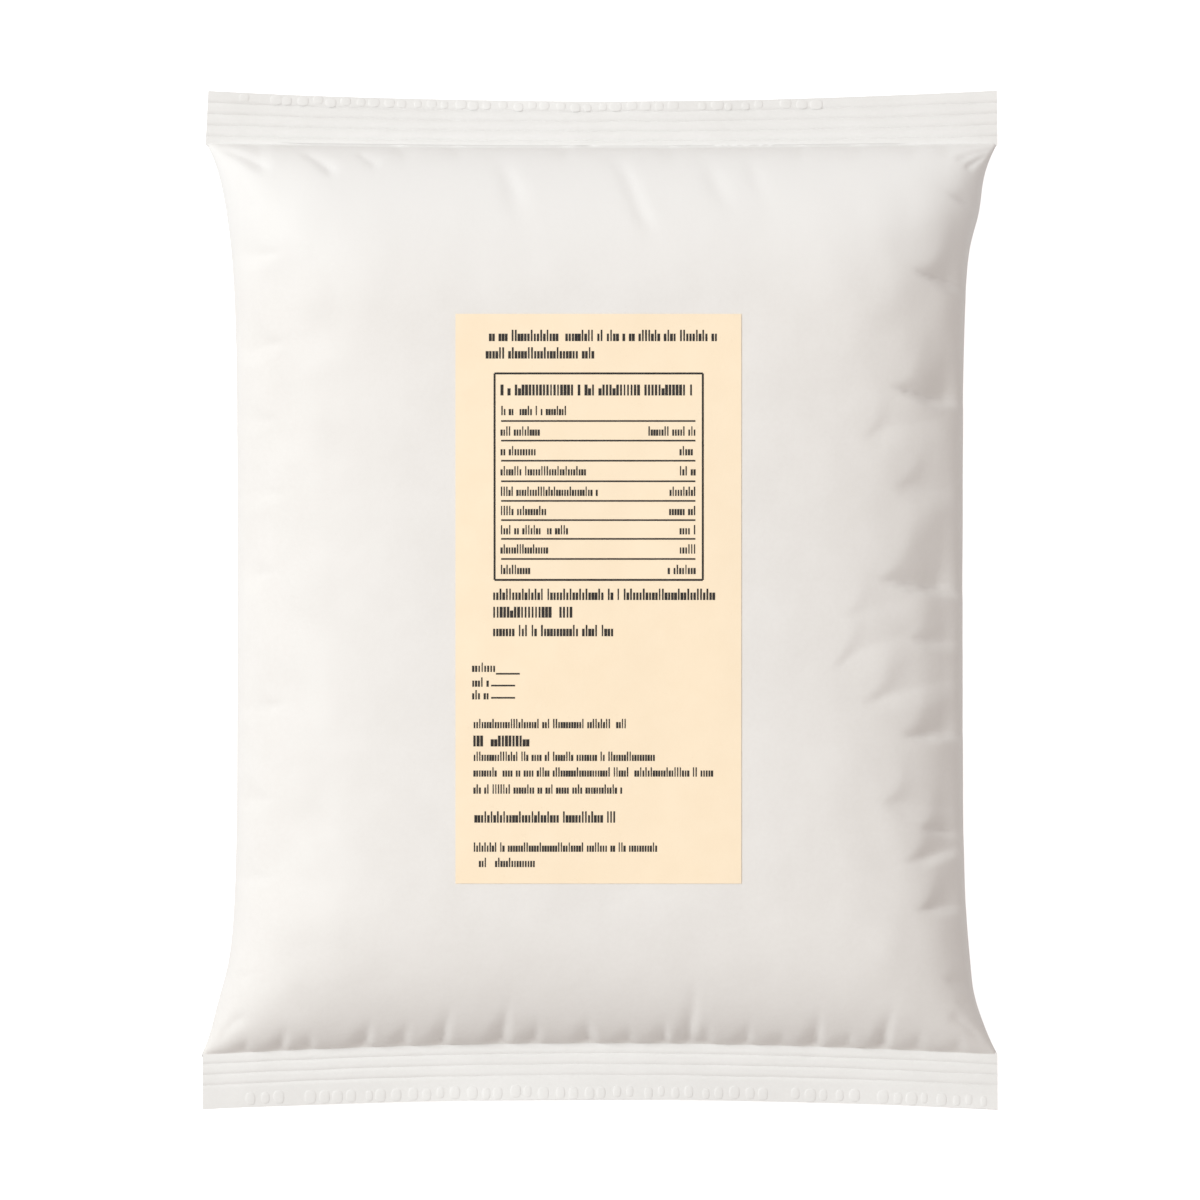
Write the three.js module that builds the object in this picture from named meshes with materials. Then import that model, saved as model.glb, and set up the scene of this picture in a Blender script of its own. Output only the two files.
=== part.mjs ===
// A one-kilogram pillow bag of sugar, lying on its back on a table.
// Millimetres, +Z up. X runs across the bag and Y along it, towards the top seal.
// The origin is on the table, under the middle of the bag.
//
// The bag is one tube of film, crimped flat at both ends. Its surface is laid out in rings, one
// for each station along Y. A place on a ring is a share of the film's width, from the left side
// (0) to the right side (1).
import * as THREE from "three";

// The bag's size
const LENGTH = 236; // cut edge to cut edge, at the corners
const FLAT_WIDTH = 184; // the tube laid flat, as its end seals are
const BODY_WIDTH = 168; // across the filled middle
const HEIGHT = 41.4; // the filled middle, lying down; the label adds 0.6
const SIDE_HEIGHT = 20; // where the bag is widest, above the table

// The end seals. The middle of each is drawn in by the filling, which bows its two edges.
const TOP_END = {
  direction: 1,
  line: 105.7, // where the filling stops, at the corners
  lineBow: 1.0,
  cutBow: 2.5,
  grooves: 4,
  pitch: 2.3,
  firstGroove: 1.5,
  droop: 0.5, // how much lower the cut edge is than the seal line
  wavePhase: 0.6,
  // Puckers where the film gathers: place across the bag, and how far in from the seal line
  puckers: [
    [-80, 4], [-67.5, 4], [-57.3, 4.5], [-44, 4], [-20.6, 10], [-6, 4], [7.2, 9], [17, 5],
    [28.7, 9], [38, 4], [52, 4.5], [66, 5], [80, 4],
  ],
  puckerDepth: 0.6, // of one with the usual reach
};
const BOTTOM_END = {
  direction: -1,
  line: 105.2,
  lineBow: 2.7,
  cutBow: 2.3,
  grooves: 3,
  pitch: 2.5,
  firstGroove: 2.5,
  droop: -0.5,
  wavePhase: 2.1,
  puckers: [
    [-82.3, 3], [-74.2, 3.7], [-67.7, 3], [-55.4, 4], [-45.4, 4], [-36.9, 7], [-22.8, 8],
    [-15.7, 3.3], [-2.9, 4], [6, 3], [14.3, 4], [20.5, 10], [34, 4], [42, 3], [49.5, 4.5],
    [57, 3], [65, 6.5], [74.3, 3], [83, 3],
  ],
  puckerDepth: 1.5,
};
const SEAL_THICKNESS = 0.7;
const GROOVE_DEPTH = 0.45;
const SEAL_WAVE = 0.9; // the cut edge's slow wave up and down
const SEAL_WAVELENGTH = 104;
const TOP_LEFT_TUCK = 1.3; // the top seal's left corner stops this much short

// The filled body
const FLARE_REACH = 14.5; // how fast the sides narrow, away from a seal
const END_RISE = 40; // from a seal line to the full height
const END_CURVE = 2.4; // how the height levels off there, and how steeply it leaves the seal
const END_STEEPNESS = 0.66;
const FRONT_ROUNDNESS = 4.2; // how flat the top of the front's cross-section is
const FRONT_SHOULDER = 0.6; // how steeply that falls to the sides
const FRONT_END_ROUNDNESS = 8; // how much flatter it is at a seal line,
const FRONT_END_REACH = 20; // and how fast that fades, going in
const BACK_ROUNDNESS = 3.2; // the back's cross-section is a superellipse of this power
const EDGE_ROUNDNESS = 8; // the same for the film's own thickness, at the flat ends
const BACK_OVERFILL = 1.2; // how much the back would bulge below the table, which flattens it
const CORE_INSET = 24; // creases sink towards a core this far inside the outline,
const FRONT_CORE_DROP = 30; // and this far below the widest level
const BACK_CORE_DROP = 4;

// Where the sides bulge in or out a little near the corners: side, end, how far in it is
// strongest, its reach, and the shift to the right
const SIDE_SHIFTS = [
  [1, TOP_END, 15.5, 6.5, 1.1],
  [-1, TOP_END, 0, 12, 0.8],
  [1, BOTTOM_END, 14, 6, -0.4],
  [-1, BOTTOM_END, 11, 9, -1.0],
];

// The fin seam along the back, folded flat
const SEAM_HALF_WIDTH = 5.5;
const SEAM_RELIEF = 0.45;
const SEAM_DISH = 16; // the film beside the seam is back on the table here

// The label stuck on the front
const LABEL_WIDTH = 65.5;
const LABEL_LENGTH = 130.5;
const LABEL_CENTRE = [-0.35, 0.3];
const LABEL_THICKNESS = 0.3;
const LABEL_GAP = 0.3;

// Creases that run off over the sides. Each is a sharp valley: where its tip is (the distance
// from the middle, and the height along the bag), its height where it reaches the side, its
// depth and its half-width there.
const RIGHT_CREASES = [
  [72, 76, 71, 2.2, 11],
  [65, 49, 45, 2.6, 12],
  [62, 5, 2, 2.8, 12],
  [70, -8, -10, 1.6, 9],
  [67, -30, -31, 2.7, 12],
  [71, -52, -54, 2.0, 9],
  [69, -61, -57, 1.6, 9],
  [72, -72, -70, 1.9, 9],
  [77, -86, -89, 1.3, 8],
];
const LEFT_CREASES = [
  [73, 80, 79, 1.0, 9],
  [71, 59, 57, 1.2, 10],
  [73, 42, 41, 0.9, 9],
  [71, 25, 24, 1.2, 10],
  [73, 6, 5, 0.9, 9],
  [72, -24, -25, 1.2, 10],
  [74, -46, -47, 1.0, 9],
  [75, -64, -65, 1.0, 9],
  [77, -86, -88, 1.0, 8],
];
// Folds round the corners, where the flat ear of film meets the filled body: their two ends,
// as distances from the middle and heights along the bag, then depth and half-width.
const CORNER_FOLDS = [
  [89, 104.5, 77, 95, 1.2, 7],
  [89, -103.5, 79, -92, 1.1, 7],
];

const CREASE_SHARPNESS = 1.7; // how sharp the bottom of each valley is
const CREASE_LOWER_SHARE = 0.6; // its lower wall is this much narrower than its upper one
const CREASE_LEFT_AT_SIDE = 0.4; // the share of its depth that is left at the side
const STRAIGHT_DOWN = [0.9, 1]; // between these shares of the half-width, creases turn to sink
// straight down, which keeps the outline smooth
const CREASE_CLEARANCE = [0.5, 9]; // creases fade out between these heights above the table

// Puckers where the film gathers at the seal lines: half-width of one that reaches in not at all,
// and how much a millimetre of reach widens it
const PUCKER_HALF_WIDTH = 3.1;
const PUCKER_WIDENING = 0.26;
const PUCKER_USUAL_REACH = 6;
const PUCKER_START = 4; // they reach their full depth this far above the seal line

// How finely the film is divided
const FRONT_COLUMNS = 58;
const BACK_COLUMNS = 24; // beside the seam
const SEAM_STEP = 0.5; // the width of the step at each edge of the seam
const BODY_ROW_STEP = 5.3;
const END_ROWS = 9; // closer rows from a seal line inwards,
const END_ROWS_REACH = 32.5; // as far as this
const END_ROWS_CURVE = 2;
const GROOVE_SHARE = 0.35; // each groove's half-width, as a share of the pitch
const ARC_SAMPLES = 400;
const LABEL_COLUMNS = 12;
const LABEL_ROWS = 22;

const FLAT_HALF = FLAT_WIDTH / 2;
const BODY_HALF = BODY_WIDTH / 2;

const clamp = (value, low, high) => Math.min(Math.max(value, low), high);

function smoothstep(low, high, value) {
  const t = clamp((value - low) / (high - low), 0, 1);
  return t * t * (3 - 2 * t);
}

// The same scattered number from 0 to 1 for the same index, each time
function scatter(index) {
  const wild = Math.sin(index * 12.9898 + 4.137) * 43758.5453;
  return wild - Math.floor(wild);
}

// A rounded height at p, from 1 in the middle (p = 0) to 0 at the side (p = 1). It is a
// superellipse's, unless a shoulder is given.
function dome(p, power, shoulder = 1 / power) {
  return Math.pow(Math.max(0, 1 - Math.pow(Math.abs(p), power)), shoulder);
}

// How far station y is inside the seal line of one end
const inset = (end, y) => end.line - end.direction * y;

// How much station y still has of a seal's flat shape: 1 at its line, fading into the body
const flatness = (end, y) => Math.exp(-Math.max(0, inset(end, y)) / FLARE_REACH);

function halfWidth(y) {
  const flare = flatness(TOP_END, y) + flatness(BOTTOM_END, y);
  return BODY_HALF + (FLAT_HALF - BODY_HALF) * flare;
}

// How far station y is inside the nearer seal line
const nearest = (y) => Math.min(inset(TOP_END, y), inset(BOTTOM_END, y));

// The filling's share of its full height at station y
function fill(y) {
  const t = clamp(nearest(y) / END_RISE, 0, 1);
  return Math.pow(1 - Math.pow(1 - t, END_CURVE), END_STEEPNESS);
}

// How much of an end's bow applies at x: all in the middle, none at the corners
const crown = (x) => 1 - Math.pow(x / FLAT_HALF, 2);

// Where station y really lies at x, as the bow of a seal line fades into the body
function bowed(x, y) {
  const fromTop = TOP_END.lineBow * flatness(TOP_END, y);
  const fromBottom = BOTTOM_END.lineBow * flatness(BOTTOM_END, y);
  return y - crown(x) * (fromTop - fromBottom);
}

// Where x lies once the sides have bulged in or out near the corners
function shifted(x, y) {
  let moved = x;
  for (const [side, end, place, reach, shift] of SIDE_SHIFTS) {
    const share = Math.pow(Math.max(0, (side * x) / halfWidth(y)), 4);
    moved += shift * share * Math.exp(-Math.pow((inset(end, y) - place) / reach, 2));
  }
  return moved;
}

// The front film's height above the table at x of station y, before creases
function frontHeight(x, y) {
  const p = x / halfWidth(y);
  const film = (SEAL_THICKNESS / 2) * dome(p, EDGE_ROUNDNESS);
  const level = SIDE_HEIGHT + film;
  const atSeal = Math.exp(-Math.max(0, nearest(y)) / FRONT_END_REACH);
  const power = FRONT_ROUNDNESS + FRONT_END_ROUNDNESS * atSeal;
  return level + (HEIGHT - level) * fill(y) * dome(p, power, FRONT_SHOULDER);
}

// The back film's, which the table flattens and dishes a little beside the seam
function backHeight(x, y, onSeam) {
  const p = x / halfWidth(y);
  const film = (SEAL_THICKNESS / 2) * dome(p, EDGE_ROUNDNESS);
  const sag = (SIDE_HEIGHT + BACK_OVERFILL) * fill(y) * dome(p, BACK_ROUNDNESS);
  const dish = SEAM_RELIEF * (1 - smoothstep(SEAM_HALF_WIDTH, SEAM_DISH, Math.abs(x)));
  const height = Math.max(dish, SIDE_HEIGHT - film - sag);
  return onSeam ? Math.max(0, height - SEAM_RELIEF) : height;
}

// A sharp valley: 1 on its line, 0 at one half-width to either side
const valley = (t) => Math.pow(Math.max(0, 1 - Math.abs(t)), CREASE_SHARPNESS);

// The depth at (x, y) of a crease from one point to another, which widens along the way. It
// fades in from its first point, and out again by its last one: all the way, or down to `left`.
// `lower` is how wide its lower wall is, as a share of its upper one.
function creaseAt(x, y, [x0, y0, x1, y1, depth, lastHalfWidth], left, lower) {
  const alongX = x1 - x0;
  const alongY = y1 - y0;
  const length = Math.hypot(alongX, alongY);
  const share = ((x - x0) * alongX + (y - y0) * alongY) / (length * length);
  if (share <= 0) return 0;
  const beside = ((y - y0) * alongX - (x - x0) * alongY) / length;
  const strength = smoothstep(0, 0.5, share) * (1 - (1 - left) * smoothstep(0.6, 1, share));
  const wall = beside > 0 ? lastHalfWidth : lastHalfWidth * lower;
  const wide = wall * THREE.MathUtils.lerp(0.4, 1, Math.min(share, 1));
  return depth * strength * valley(beside / wide);
}

// The depth of all the creases and folds at x of station y, on either face
function creaseDepth(x, y) {
  const out = Math.abs(x);
  let total = 0;
  for (const [tip, from, to, depth, wide] of x > 0 ? RIGHT_CREASES : LEFT_CREASES) {
    const crease = [tip, from, BODY_HALF, to, depth, wide];
    total += creaseAt(out, y, crease, CREASE_LEFT_AT_SIDE, CREASE_LOWER_SHARE);
  }
  for (const fold of CORNER_FOLDS) total += creaseAt(out, y, fold, 0, 1);
  return total;
}

// The depth of the gathers along a seal line. Each is deepest a little way in.
function puckerDepth(x, y, end) {
  const away = Math.max(0, inset(end, y));
  let total = 0;
  end.puckers.forEach(([place, reach], i) => {
    const unevenness = THREE.MathUtils.lerp(0.55, 1, scatter(i));
    const strength = end.puckerDepth * unevenness * Math.sqrt(reach / PUCKER_USUAL_REACH);
    const along = (away / reach) * Math.exp(1 - away / reach);
    const wide = PUCKER_HALF_WIDTH + PUCKER_WIDENING * reach;
    total += strength * along * valley((x - place) / wide);
  });
  return total;
}

// Sinks a point of the film towards the bag's core by the depth of its creases. None reach the
// part of the back that rests on the table, and the puckers are on the front only.
function creased(point, onBack) {
  const { x, y, z } = point;
  const gathers = onBack ? 0 : puckerDepth(x, y, TOP_END) + puckerDepth(x, y, BOTTOM_END);
  const gathered = smoothstep(0, PUCKER_START, z - SIDE_HEIGHT) * gathers;
  const clear = onBack ? smoothstep(...CREASE_CLEARANCE, z) : 1;
  const core = new THREE.Vector3(
    clamp(x, CORE_INSET - BODY_HALF, BODY_HALF - CORE_INSET),
    clamp(y, CORE_INSET - BOTTOM_END.line, TOP_END.line - CORE_INSET),
    SIDE_HEIGHT - (onBack ? BACK_CORE_DROP : FRONT_CORE_DROP),
  );
  const depth = (clear * creaseDepth(x, y) + gathered) * fill(y);
  const down = smoothstep(...STRAIGHT_DOWN, Math.abs(x) / halfWidth(y));
  const way = core.sub(point).normalize().lerp(new THREE.Vector3(0, 0, -1), down);
  return point.addScaledVector(way, depth);
}

// Where a cross-section's x lies at each share of its film length, from the left side (0) to
// the right side (1)
function spreadAlongFilm(heightAt, half, shares) {
  const xs = [];
  const lengths = [];
  for (let i = 0; i <= ARC_SAMPLES; i++) {
    const x = -half * Math.cos((Math.PI * i) / ARC_SAMPLES);
    const step = i ? Math.hypot(x - xs[i - 1], heightAt(x) - heightAt(xs[i - 1])) : 0;
    lengths.push((lengths[i - 1] ?? 0) + step);
    xs.push(x);
  }
  let i = 1;
  return shares.map((share) => {
    const wanted = share * lengths[ARC_SAMPLES];
    while (i < ARC_SAMPLES && lengths[i] < wanted) i++;
    const t = (wanted - lengths[i - 1]) / (lengths[i] - lengths[i - 1]);
    return THREE.MathUtils.lerp(xs[i - 1], xs[i], clamp(t, 0, 1));
  });
}

// The shares of the film at which the front is divided
const FRONT_SHARES = Array.from({ length: FRONT_COLUMNS + 1 }, (_, i) => i / FRONT_COLUMNS);

// The same for the back, which has a step at each edge of its seam
function backShares() {
  const seamEdge = 0.5 - SEAM_HALF_WIDTH / FLAT_WIDTH;
  const stepFoot = seamEdge - SEAM_STEP / FLAT_WIDTH;
  const side = BACK_COLUMNS / 2;
  const left = Array.from({ length: side + 1 }, (_, i) => (i / side) * stepFoot);
  left.push(seamEdge);
  return [...left, ...left.map((share) => 1 - share).reverse()];
}
const BACK_SHARES = backShares();
const onSeam = (i) => i === BACK_SHARES.length / 2 || i === BACK_SHARES.length / 2 - 1;

// A ring is the front film's points from left to right, then the back film's to the left again.
// The two share their first and last points.
function ringOf(frontPoint, backPoint) {
  const ring = FRONT_SHARES.map((_, i) => frontPoint(i));
  for (let i = BACK_SHARES.length - 2; i > 0; i--) ring.push(backPoint(i));
  return ring;
}

// One ring of the body
function bodyRing(y) {
  const half = halfWidth(y);
  const front = spreadAlongFilm((x) => frontHeight(x, y), half, FRONT_SHARES);
  const back = spreadAlongFilm((x) => backHeight(x, y, false), half, BACK_SHARES);
  const at = (x, z) => new THREE.Vector3(shifted(x, y), bowed(x, y), z);
  return ringOf(
    (i) => creased(at(front[i], frontHeight(front[i], y)), false),
    (i) => creased(at(back[i], backHeight(back[i], y, onSeam(i))), true),
  );
}

// One ring of an end seal, a share of the way from the seal line to the cut edge
function sealRing(end, share, groove) {
  const place = (filmShare, face, lap) => {
    const tuck = end === TOP_END ? TOP_LEFT_TUCK * Math.pow(Math.max(0, 1 - 2 * filmShare), 4) : 0;
    const x = FLAT_WIDTH * (filmShare - 0.5) + tuck * (0.5 + 0.5 * share);
    const line = end.line - end.lineBow * crown(x);
    const cut = LENGTH / 2 - end.cutBow * crown(x);
    const wave = SEAL_WAVE * Math.sin((2 * Math.PI * x) / SEAL_WAVELENGTH + end.wavePhase);
    const middle = SIDE_HEIGHT - end.droop * share + wave * share * share - groove;
    const y = end.direction * THREE.MathUtils.lerp(line, cut, share);
    return new THREE.Vector3(x, y, middle + (face * SEAL_THICKNESS) / 2 - lap);
  };
  const atSide = (i) => i === 0 || i === FRONT_COLUMNS;
  return ringOf(
    (i) => place(FRONT_SHARES[i], atSide(i) ? 0 : 1, 0),
    (i) => place(BACK_SHARES[i], -1, onSeam(i) ? SEAM_RELIEF / 2 : 0),
  );
}

// The rings of an end seal, from its line outwards: its grooves in turn, then the flat cut edge
function sealRings(end) {
  const width = LENGTH / 2 - end.cutBow - (end.line - end.lineBow);
  const rings = [];
  for (let i = 0; i < end.grooves; i++) {
    const groove = end.firstGroove + i * end.pitch;
    const beside = GROOVE_SHARE * end.pitch;
    rings.push(sealRing(end, (groove - beside) / width, 0));
    rings.push(sealRing(end, groove / width, GROOVE_DEPTH));
    rings.push(sealRing(end, (groove + beside) / width, 0));
  }
  rings.push(sealRing(end, 1, 0));
  return rings;
}

// The stations of the body, from the bottom seal line to the top one, closest by the seals
function bodyStations() {
  const low = -BOTTOM_END.line;
  const high = TOP_END.line;
  const ends = Array.from(
    { length: END_ROWS },
    (_, i) => END_ROWS_REACH * Math.pow((i + 1) / END_ROWS, END_ROWS_CURVE),
  );
  const span = high - low - 2 * END_ROWS_REACH;
  const count = Math.round(span / BODY_ROW_STEP);
  const middle = Array.from(
    { length: count - 1 },
    (_, i) => low + END_ROWS_REACH + (span * (i + 1)) / count,
  );
  return [...ends.map((step) => low + step), ...middle, ...ends.map((step) => high - step).reverse()];
}

// The triangles that close the flat ring of an open end, found by walking along its upper and
// lower rows from left to right together
function capFaces(upper, lower) {
  const faces = [];
  let u = 0;
  let l = 0;
  while (u < upper.length - 1 || l < lower.length - 1) {
    const upperFirst = (u + 1) * (lower.length - 1) <= (l + 1) * (upper.length - 1);
    const next = upperFirst ? upper[u + 1] : lower[l + 1];
    const corners = [upper[u], next, lower[l]];
    if (new Set(corners).size === 3) faces.push(corners);
    if (upperFirst) u++;
    else l++;
  }
  return faces;
}

// A closed skin over rings of equal count. upper and lower are the places in a ring of the two
// rows that its end caps join.
function skinned(rings, upper, lower) {
  const ringSize = rings[0].length;
  const faces = [];
  for (let row = 0; row + 1 < rings.length; row++) {
    for (let i = 0; i < ringSize; i++) {
      const a = row * ringSize + i;
      const b = row * ringSize + ((i + 1) % ringSize);
      faces.push(a, b, b + ringSize, a, b + ringSize, a + ringSize);
    }
  }
  const last = (rings.length - 1) * ringSize;
  for (const [a, b, c] of capFaces(upper, lower)) {
    faces.push(a, c, b, a + last, b + last, c + last);
  }
  const positions = rings.flat().flatMap((point) => point.toArray());
  const geometry = new THREE.BufferGeometry();
  geometry.setAttribute("position", new THREE.Float32BufferAttribute(positions, 3));
  geometry.setIndex(faces);
  geometry.computeVertexNormals();
  return geometry;
}

const countedFrom = (first, count, step) => Array.from({ length: count }, (_, i) => first + i * step);

function makeBag() {
  const rings = [
    ...sealRings(BOTTOM_END).reverse(),
    ...bodyStations().map(bodyRing),
    ...sealRings(TOP_END),
  ];
  const upper = countedFrom(0, FRONT_COLUMNS + 1, 1);
  const lower = [0, ...countedFrom(rings[0].length - 1, BACK_SHARES.length - 1, -1)];
  return skinned(rings, upper, lower);
}

// The label: a thin sheet that follows the front film
function makeLabel() {
  const columns = LABEL_COLUMNS + 1;
  const rings = [];
  for (let row = 0; row <= LABEL_ROWS; row++) {
    const y = LABEL_CENTRE[1] + LABEL_LENGTH * (row / LABEL_ROWS - 0.5);
    const sheet = (lift) => Array.from({ length: columns }, (_, i) => {
      const x = LABEL_CENTRE[0] + LABEL_WIDTH * (i / LABEL_COLUMNS - 0.5);
      return new THREE.Vector3(x, y, frontHeight(x, y) + lift);
    });
    rings.push([...sheet(LABEL_GAP + LABEL_THICKNESS), ...sheet(LABEL_GAP).reverse()]);
  }
  return skinned(rings, countedFrom(0, columns, 1), countedFrom(2 * columns - 1, columns, -1));
}

function named(name, geometry, colour, roughness) {
  const material = new THREE.MeshStandardMaterial({ color: colour, roughness, metalness: 0 });
  const mesh = new THREE.Mesh(geometry, material);
  mesh.name = name;
  return mesh;
}

const bagOfSugar = new THREE.Group();
bagOfSugar.add(named("bag", makeBag(), 0xf0ede8, 0.45));
bagOfSugar.add(named("label", makeLabel(), 0xfdebcf, 0.55));

export default bagOfSugar;
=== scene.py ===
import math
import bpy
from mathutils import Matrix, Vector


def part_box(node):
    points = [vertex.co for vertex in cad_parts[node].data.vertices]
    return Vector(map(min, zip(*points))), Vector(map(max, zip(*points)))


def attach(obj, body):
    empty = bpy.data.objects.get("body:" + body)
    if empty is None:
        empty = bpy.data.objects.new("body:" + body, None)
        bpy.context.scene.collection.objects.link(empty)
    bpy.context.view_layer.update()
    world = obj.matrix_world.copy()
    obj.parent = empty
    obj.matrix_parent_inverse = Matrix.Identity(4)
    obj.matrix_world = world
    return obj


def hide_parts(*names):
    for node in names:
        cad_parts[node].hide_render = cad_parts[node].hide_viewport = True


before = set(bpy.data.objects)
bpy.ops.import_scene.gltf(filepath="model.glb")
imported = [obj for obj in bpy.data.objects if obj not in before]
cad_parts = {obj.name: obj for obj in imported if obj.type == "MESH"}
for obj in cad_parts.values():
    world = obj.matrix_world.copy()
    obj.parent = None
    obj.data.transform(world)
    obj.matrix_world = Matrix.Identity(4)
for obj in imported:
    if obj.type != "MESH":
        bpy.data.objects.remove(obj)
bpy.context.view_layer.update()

# %% [markdown]
# # A bag of sugar
#
# This is a one-kilogram pillow bag: one tube of white film, crimped flat at both ends, with a
# folded seam down its back and a tall paper label on its front. It lies on its back, and the
# camera looks straight down on it.
#
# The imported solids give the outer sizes. Shapes are worked out in millimetres, because that is
# how a bag is measured, and MM turns them into Blender's metres when a mesh is made.

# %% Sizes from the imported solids
from types import SimpleNamespace

import bmesh
import bpy
import numpy as np
from mathutils import Vector, noise

MM = 0.001
bag_low, bag_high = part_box("bag")
label_low, label_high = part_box("label")
FLAT_WIDTH = (bag_high.x - bag_low.x) / MM
LENGTH = (bag_high.y - bag_low.y) / MM
HEIGHT = bag_high.z / MM
print(f"the bag: {FLAT_WIDTH:.1f} by {LENGTH:.1f} by {HEIGHT:.1f} mm")

# %% [markdown]
# ## The shape of the filled bag
#
# A filled bag could be sculpted, or blown up with a cloth simulation. Its main shape follows a
# rule, though, so here it is a formula, which follows the photograph's outline closely. The film
# narrows away from the seals, because the filling takes up its width, and each cross-section
# is a rounded hump over a flatter underside.
#
# Each end of the bag is a small set of measures: where the filling stops, how far the filling
# draws the middle of the seal in, the grooves that the crimping jaws left, and the row of marks
# beside the cut edge. A place on the film is (x, y): x across the bag, and y along it, towards
# the top seal.

# %% The two ends, and the rule of the body
TOP_END = SimpleNamespace(
    name="top", direction=1, line=105.7, line_bow=1.0, cut_bow=2.5,
    grooves=4, pitch=2.3, first_groove=1.5, groove_depth=0.45, droop=0.2, wave_phase=0.6,
    tuck=1.3, pleat_widths=(4.4, 3.6), marks_from=-82.0, marks_to=50.0, marks_inset=1.3,
    mark_spacing=3.3, mark_size=(2.6, 2.5), mark_height=0.24, mark_seed=5,
)
BOTTOM_END = SimpleNamespace(
    name="bottom", direction=-1, line=105.2, line_bow=2.7, cut_bow=2.3,
    grooves=3, pitch=2.5, first_groove=2.5, groove_depth=0.35, droop=-0.75, wave_phase=2.1,
    tuck=0.0, pleat_widths=(4.2, 2.2), marks_from=-81.0, marks_to=89.0, marks_inset=1.85,
    mark_spacing=3.4, mark_size=(2.4, 3.7), mark_height=0.28, mark_seed=11,
)
BODY_WIDTH = 168.0
SIDE_HEIGHT = 20.0
SEAL_THICKNESS = 0.7
FLARE_REACH = 14.5
END_RISE = 40.0
END_CURVE = 2.4
END_STEEPNESS = 0.66
FRONT_ROUNDNESS = 4.2
FRONT_SHOULDER = 0.6
FRONT_END_ROUNDNESS = 8.0
FRONT_END_REACH = 20.0
BACK_ROUNDNESS = 3.2
EDGE_ROUNDNESS = 8.0
BACK_OVERFILL = 1.2
SEAM_HALF_WIDTH = 5.5
SEAM_RELIEF = 0.45
SEAM_DISH = 16.0
SEAM_EDGE = 0.3
SIDE_SHIFT_POWER = 4
FLAT_HALF = FLAT_WIDTH / 2
BODY_HALF = BODY_WIDTH / 2


def smoothstep(low, high, value):
    t = np.clip((value - low) / (high - low), 0, 1)
    return t * t * (3 - 2 * t)


def dome(p, power, shoulder=None):
    """A rounded height: 1 in the middle, where p is 0, and 0 at the side."""
    return np.maximum(0, 1 - np.abs(p) ** power) ** (shoulder or 1 / power)


def inset(end, y):
    """How far station y is inside an end's seal line."""
    return end.line - end.direction * y


def flatness(end, y):
    return np.exp(-np.maximum(0, inset(end, y)) / FLARE_REACH)


def half_width(y):
    flare = flatness(TOP_END, y) + flatness(BOTTOM_END, y)
    return BODY_HALF + (FLAT_HALF - BODY_HALF) * flare


def nearest_inset(y):
    return np.minimum(inset(TOP_END, y), inset(BOTTOM_END, y))


def fill(y):
    """The filling's share of its full height at station y."""
    t = np.clip(nearest_inset(y) / END_RISE, 0, 1)
    return (1 - (1 - t) ** END_CURVE) ** END_STEEPNESS


def crown(x):
    return 1 - (x / FLAT_HALF) ** 2


def bowed(x, y):
    """Where station y lies at x, as the bow of each seal line fades into the body."""
    from_top = TOP_END.line_bow * flatness(TOP_END, y)
    from_bottom = BOTTOM_END.line_bow * flatness(BOTTOM_END, y)
    return y - crown(x) * (from_top - from_bottom)


# Columns: side, end, how far in it is strongest, its reach, and the shift to the right
SIDE_SHIFTS = [
    (1, TOP_END, 15.5, 6.5, 1.1), (-1, TOP_END, 0.0, 12.0, 0.8),
    (1, BOTTOM_END, 14.0, 6.0, -0.4), (-1, BOTTOM_END, 11.0, 9.0, -1.0),
]


def shifted(x, y):
    """Where x lies once the sides have bulged in or out a little near the corners."""
    moved = x
    for side, end, place, reach, shift in SIDE_SHIFTS:
        share = np.maximum(0, side * x / half_width(y)) ** SIDE_SHIFT_POWER
        moved = moved + shift * share * np.exp(-((inset(end, y) - place) / reach) ** 2)
    return moved


def front_height(x, y):
    """The front film. Near the seals its top is flatter, and its sides are steeper."""
    p = x / half_width(y)
    level = SIDE_HEIGHT + SEAL_THICKNESS / 2 * dome(p, EDGE_ROUNDNESS)
    near_seal = np.exp(-np.maximum(0, nearest_inset(y)) / FRONT_END_REACH)
    power = FRONT_ROUNDNESS + FRONT_END_ROUNDNESS * near_seal
    return level + (HEIGHT - level) * fill(y) * dome(p, power, FRONT_SHOULDER)


def back_height(x, y):
    """The back film, which the table flattens, with the folded seam down its middle."""
    p = x / half_width(y)
    film = SEAL_THICKNESS / 2 * dome(p, EDGE_ROUNDNESS)
    sag = (SIDE_HEIGHT + BACK_OVERFILL) * fill(y) * dome(p, BACK_ROUNDNESS)
    dish = SEAM_RELIEF * (1 - smoothstep(SEAM_HALF_WIDTH, SEAM_DISH, np.abs(x)))
    height = np.maximum(dish, SIDE_HEIGHT - film - sag)
    beyond = smoothstep(SEAM_HALF_WIDTH - SEAM_EDGE, SEAM_HALF_WIDTH + SEAM_EDGE, np.abs(x))
    return np.maximum(0, height - SEAM_RELIEF * (1 - beyond))


print(f"the body's middle is {2 * half_width(0.0):.1f} mm wide")

# %% [markdown]
# ## Creases, folds and gathers
#
# The film is longer than the filled shape needs at its shoulders and along the seals, so it
# buckles. Noise alone would look like crumpled paper, and a cloth simulation makes folds of its
# own choice, so each crease that the photograph shows is one row of a table here.
#
# A crease on a shoulder is like a shingle's edge. It starts at a tip on the front and runs out to
# the side. Above its line is a broad facet that sinks away from the light, and below it a short
# steep wall climbs back up. The other kinds are simpler: straight folds at the corners, soft
# dimples under the top seal, and rows of small pleats that start at each seal.

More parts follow.
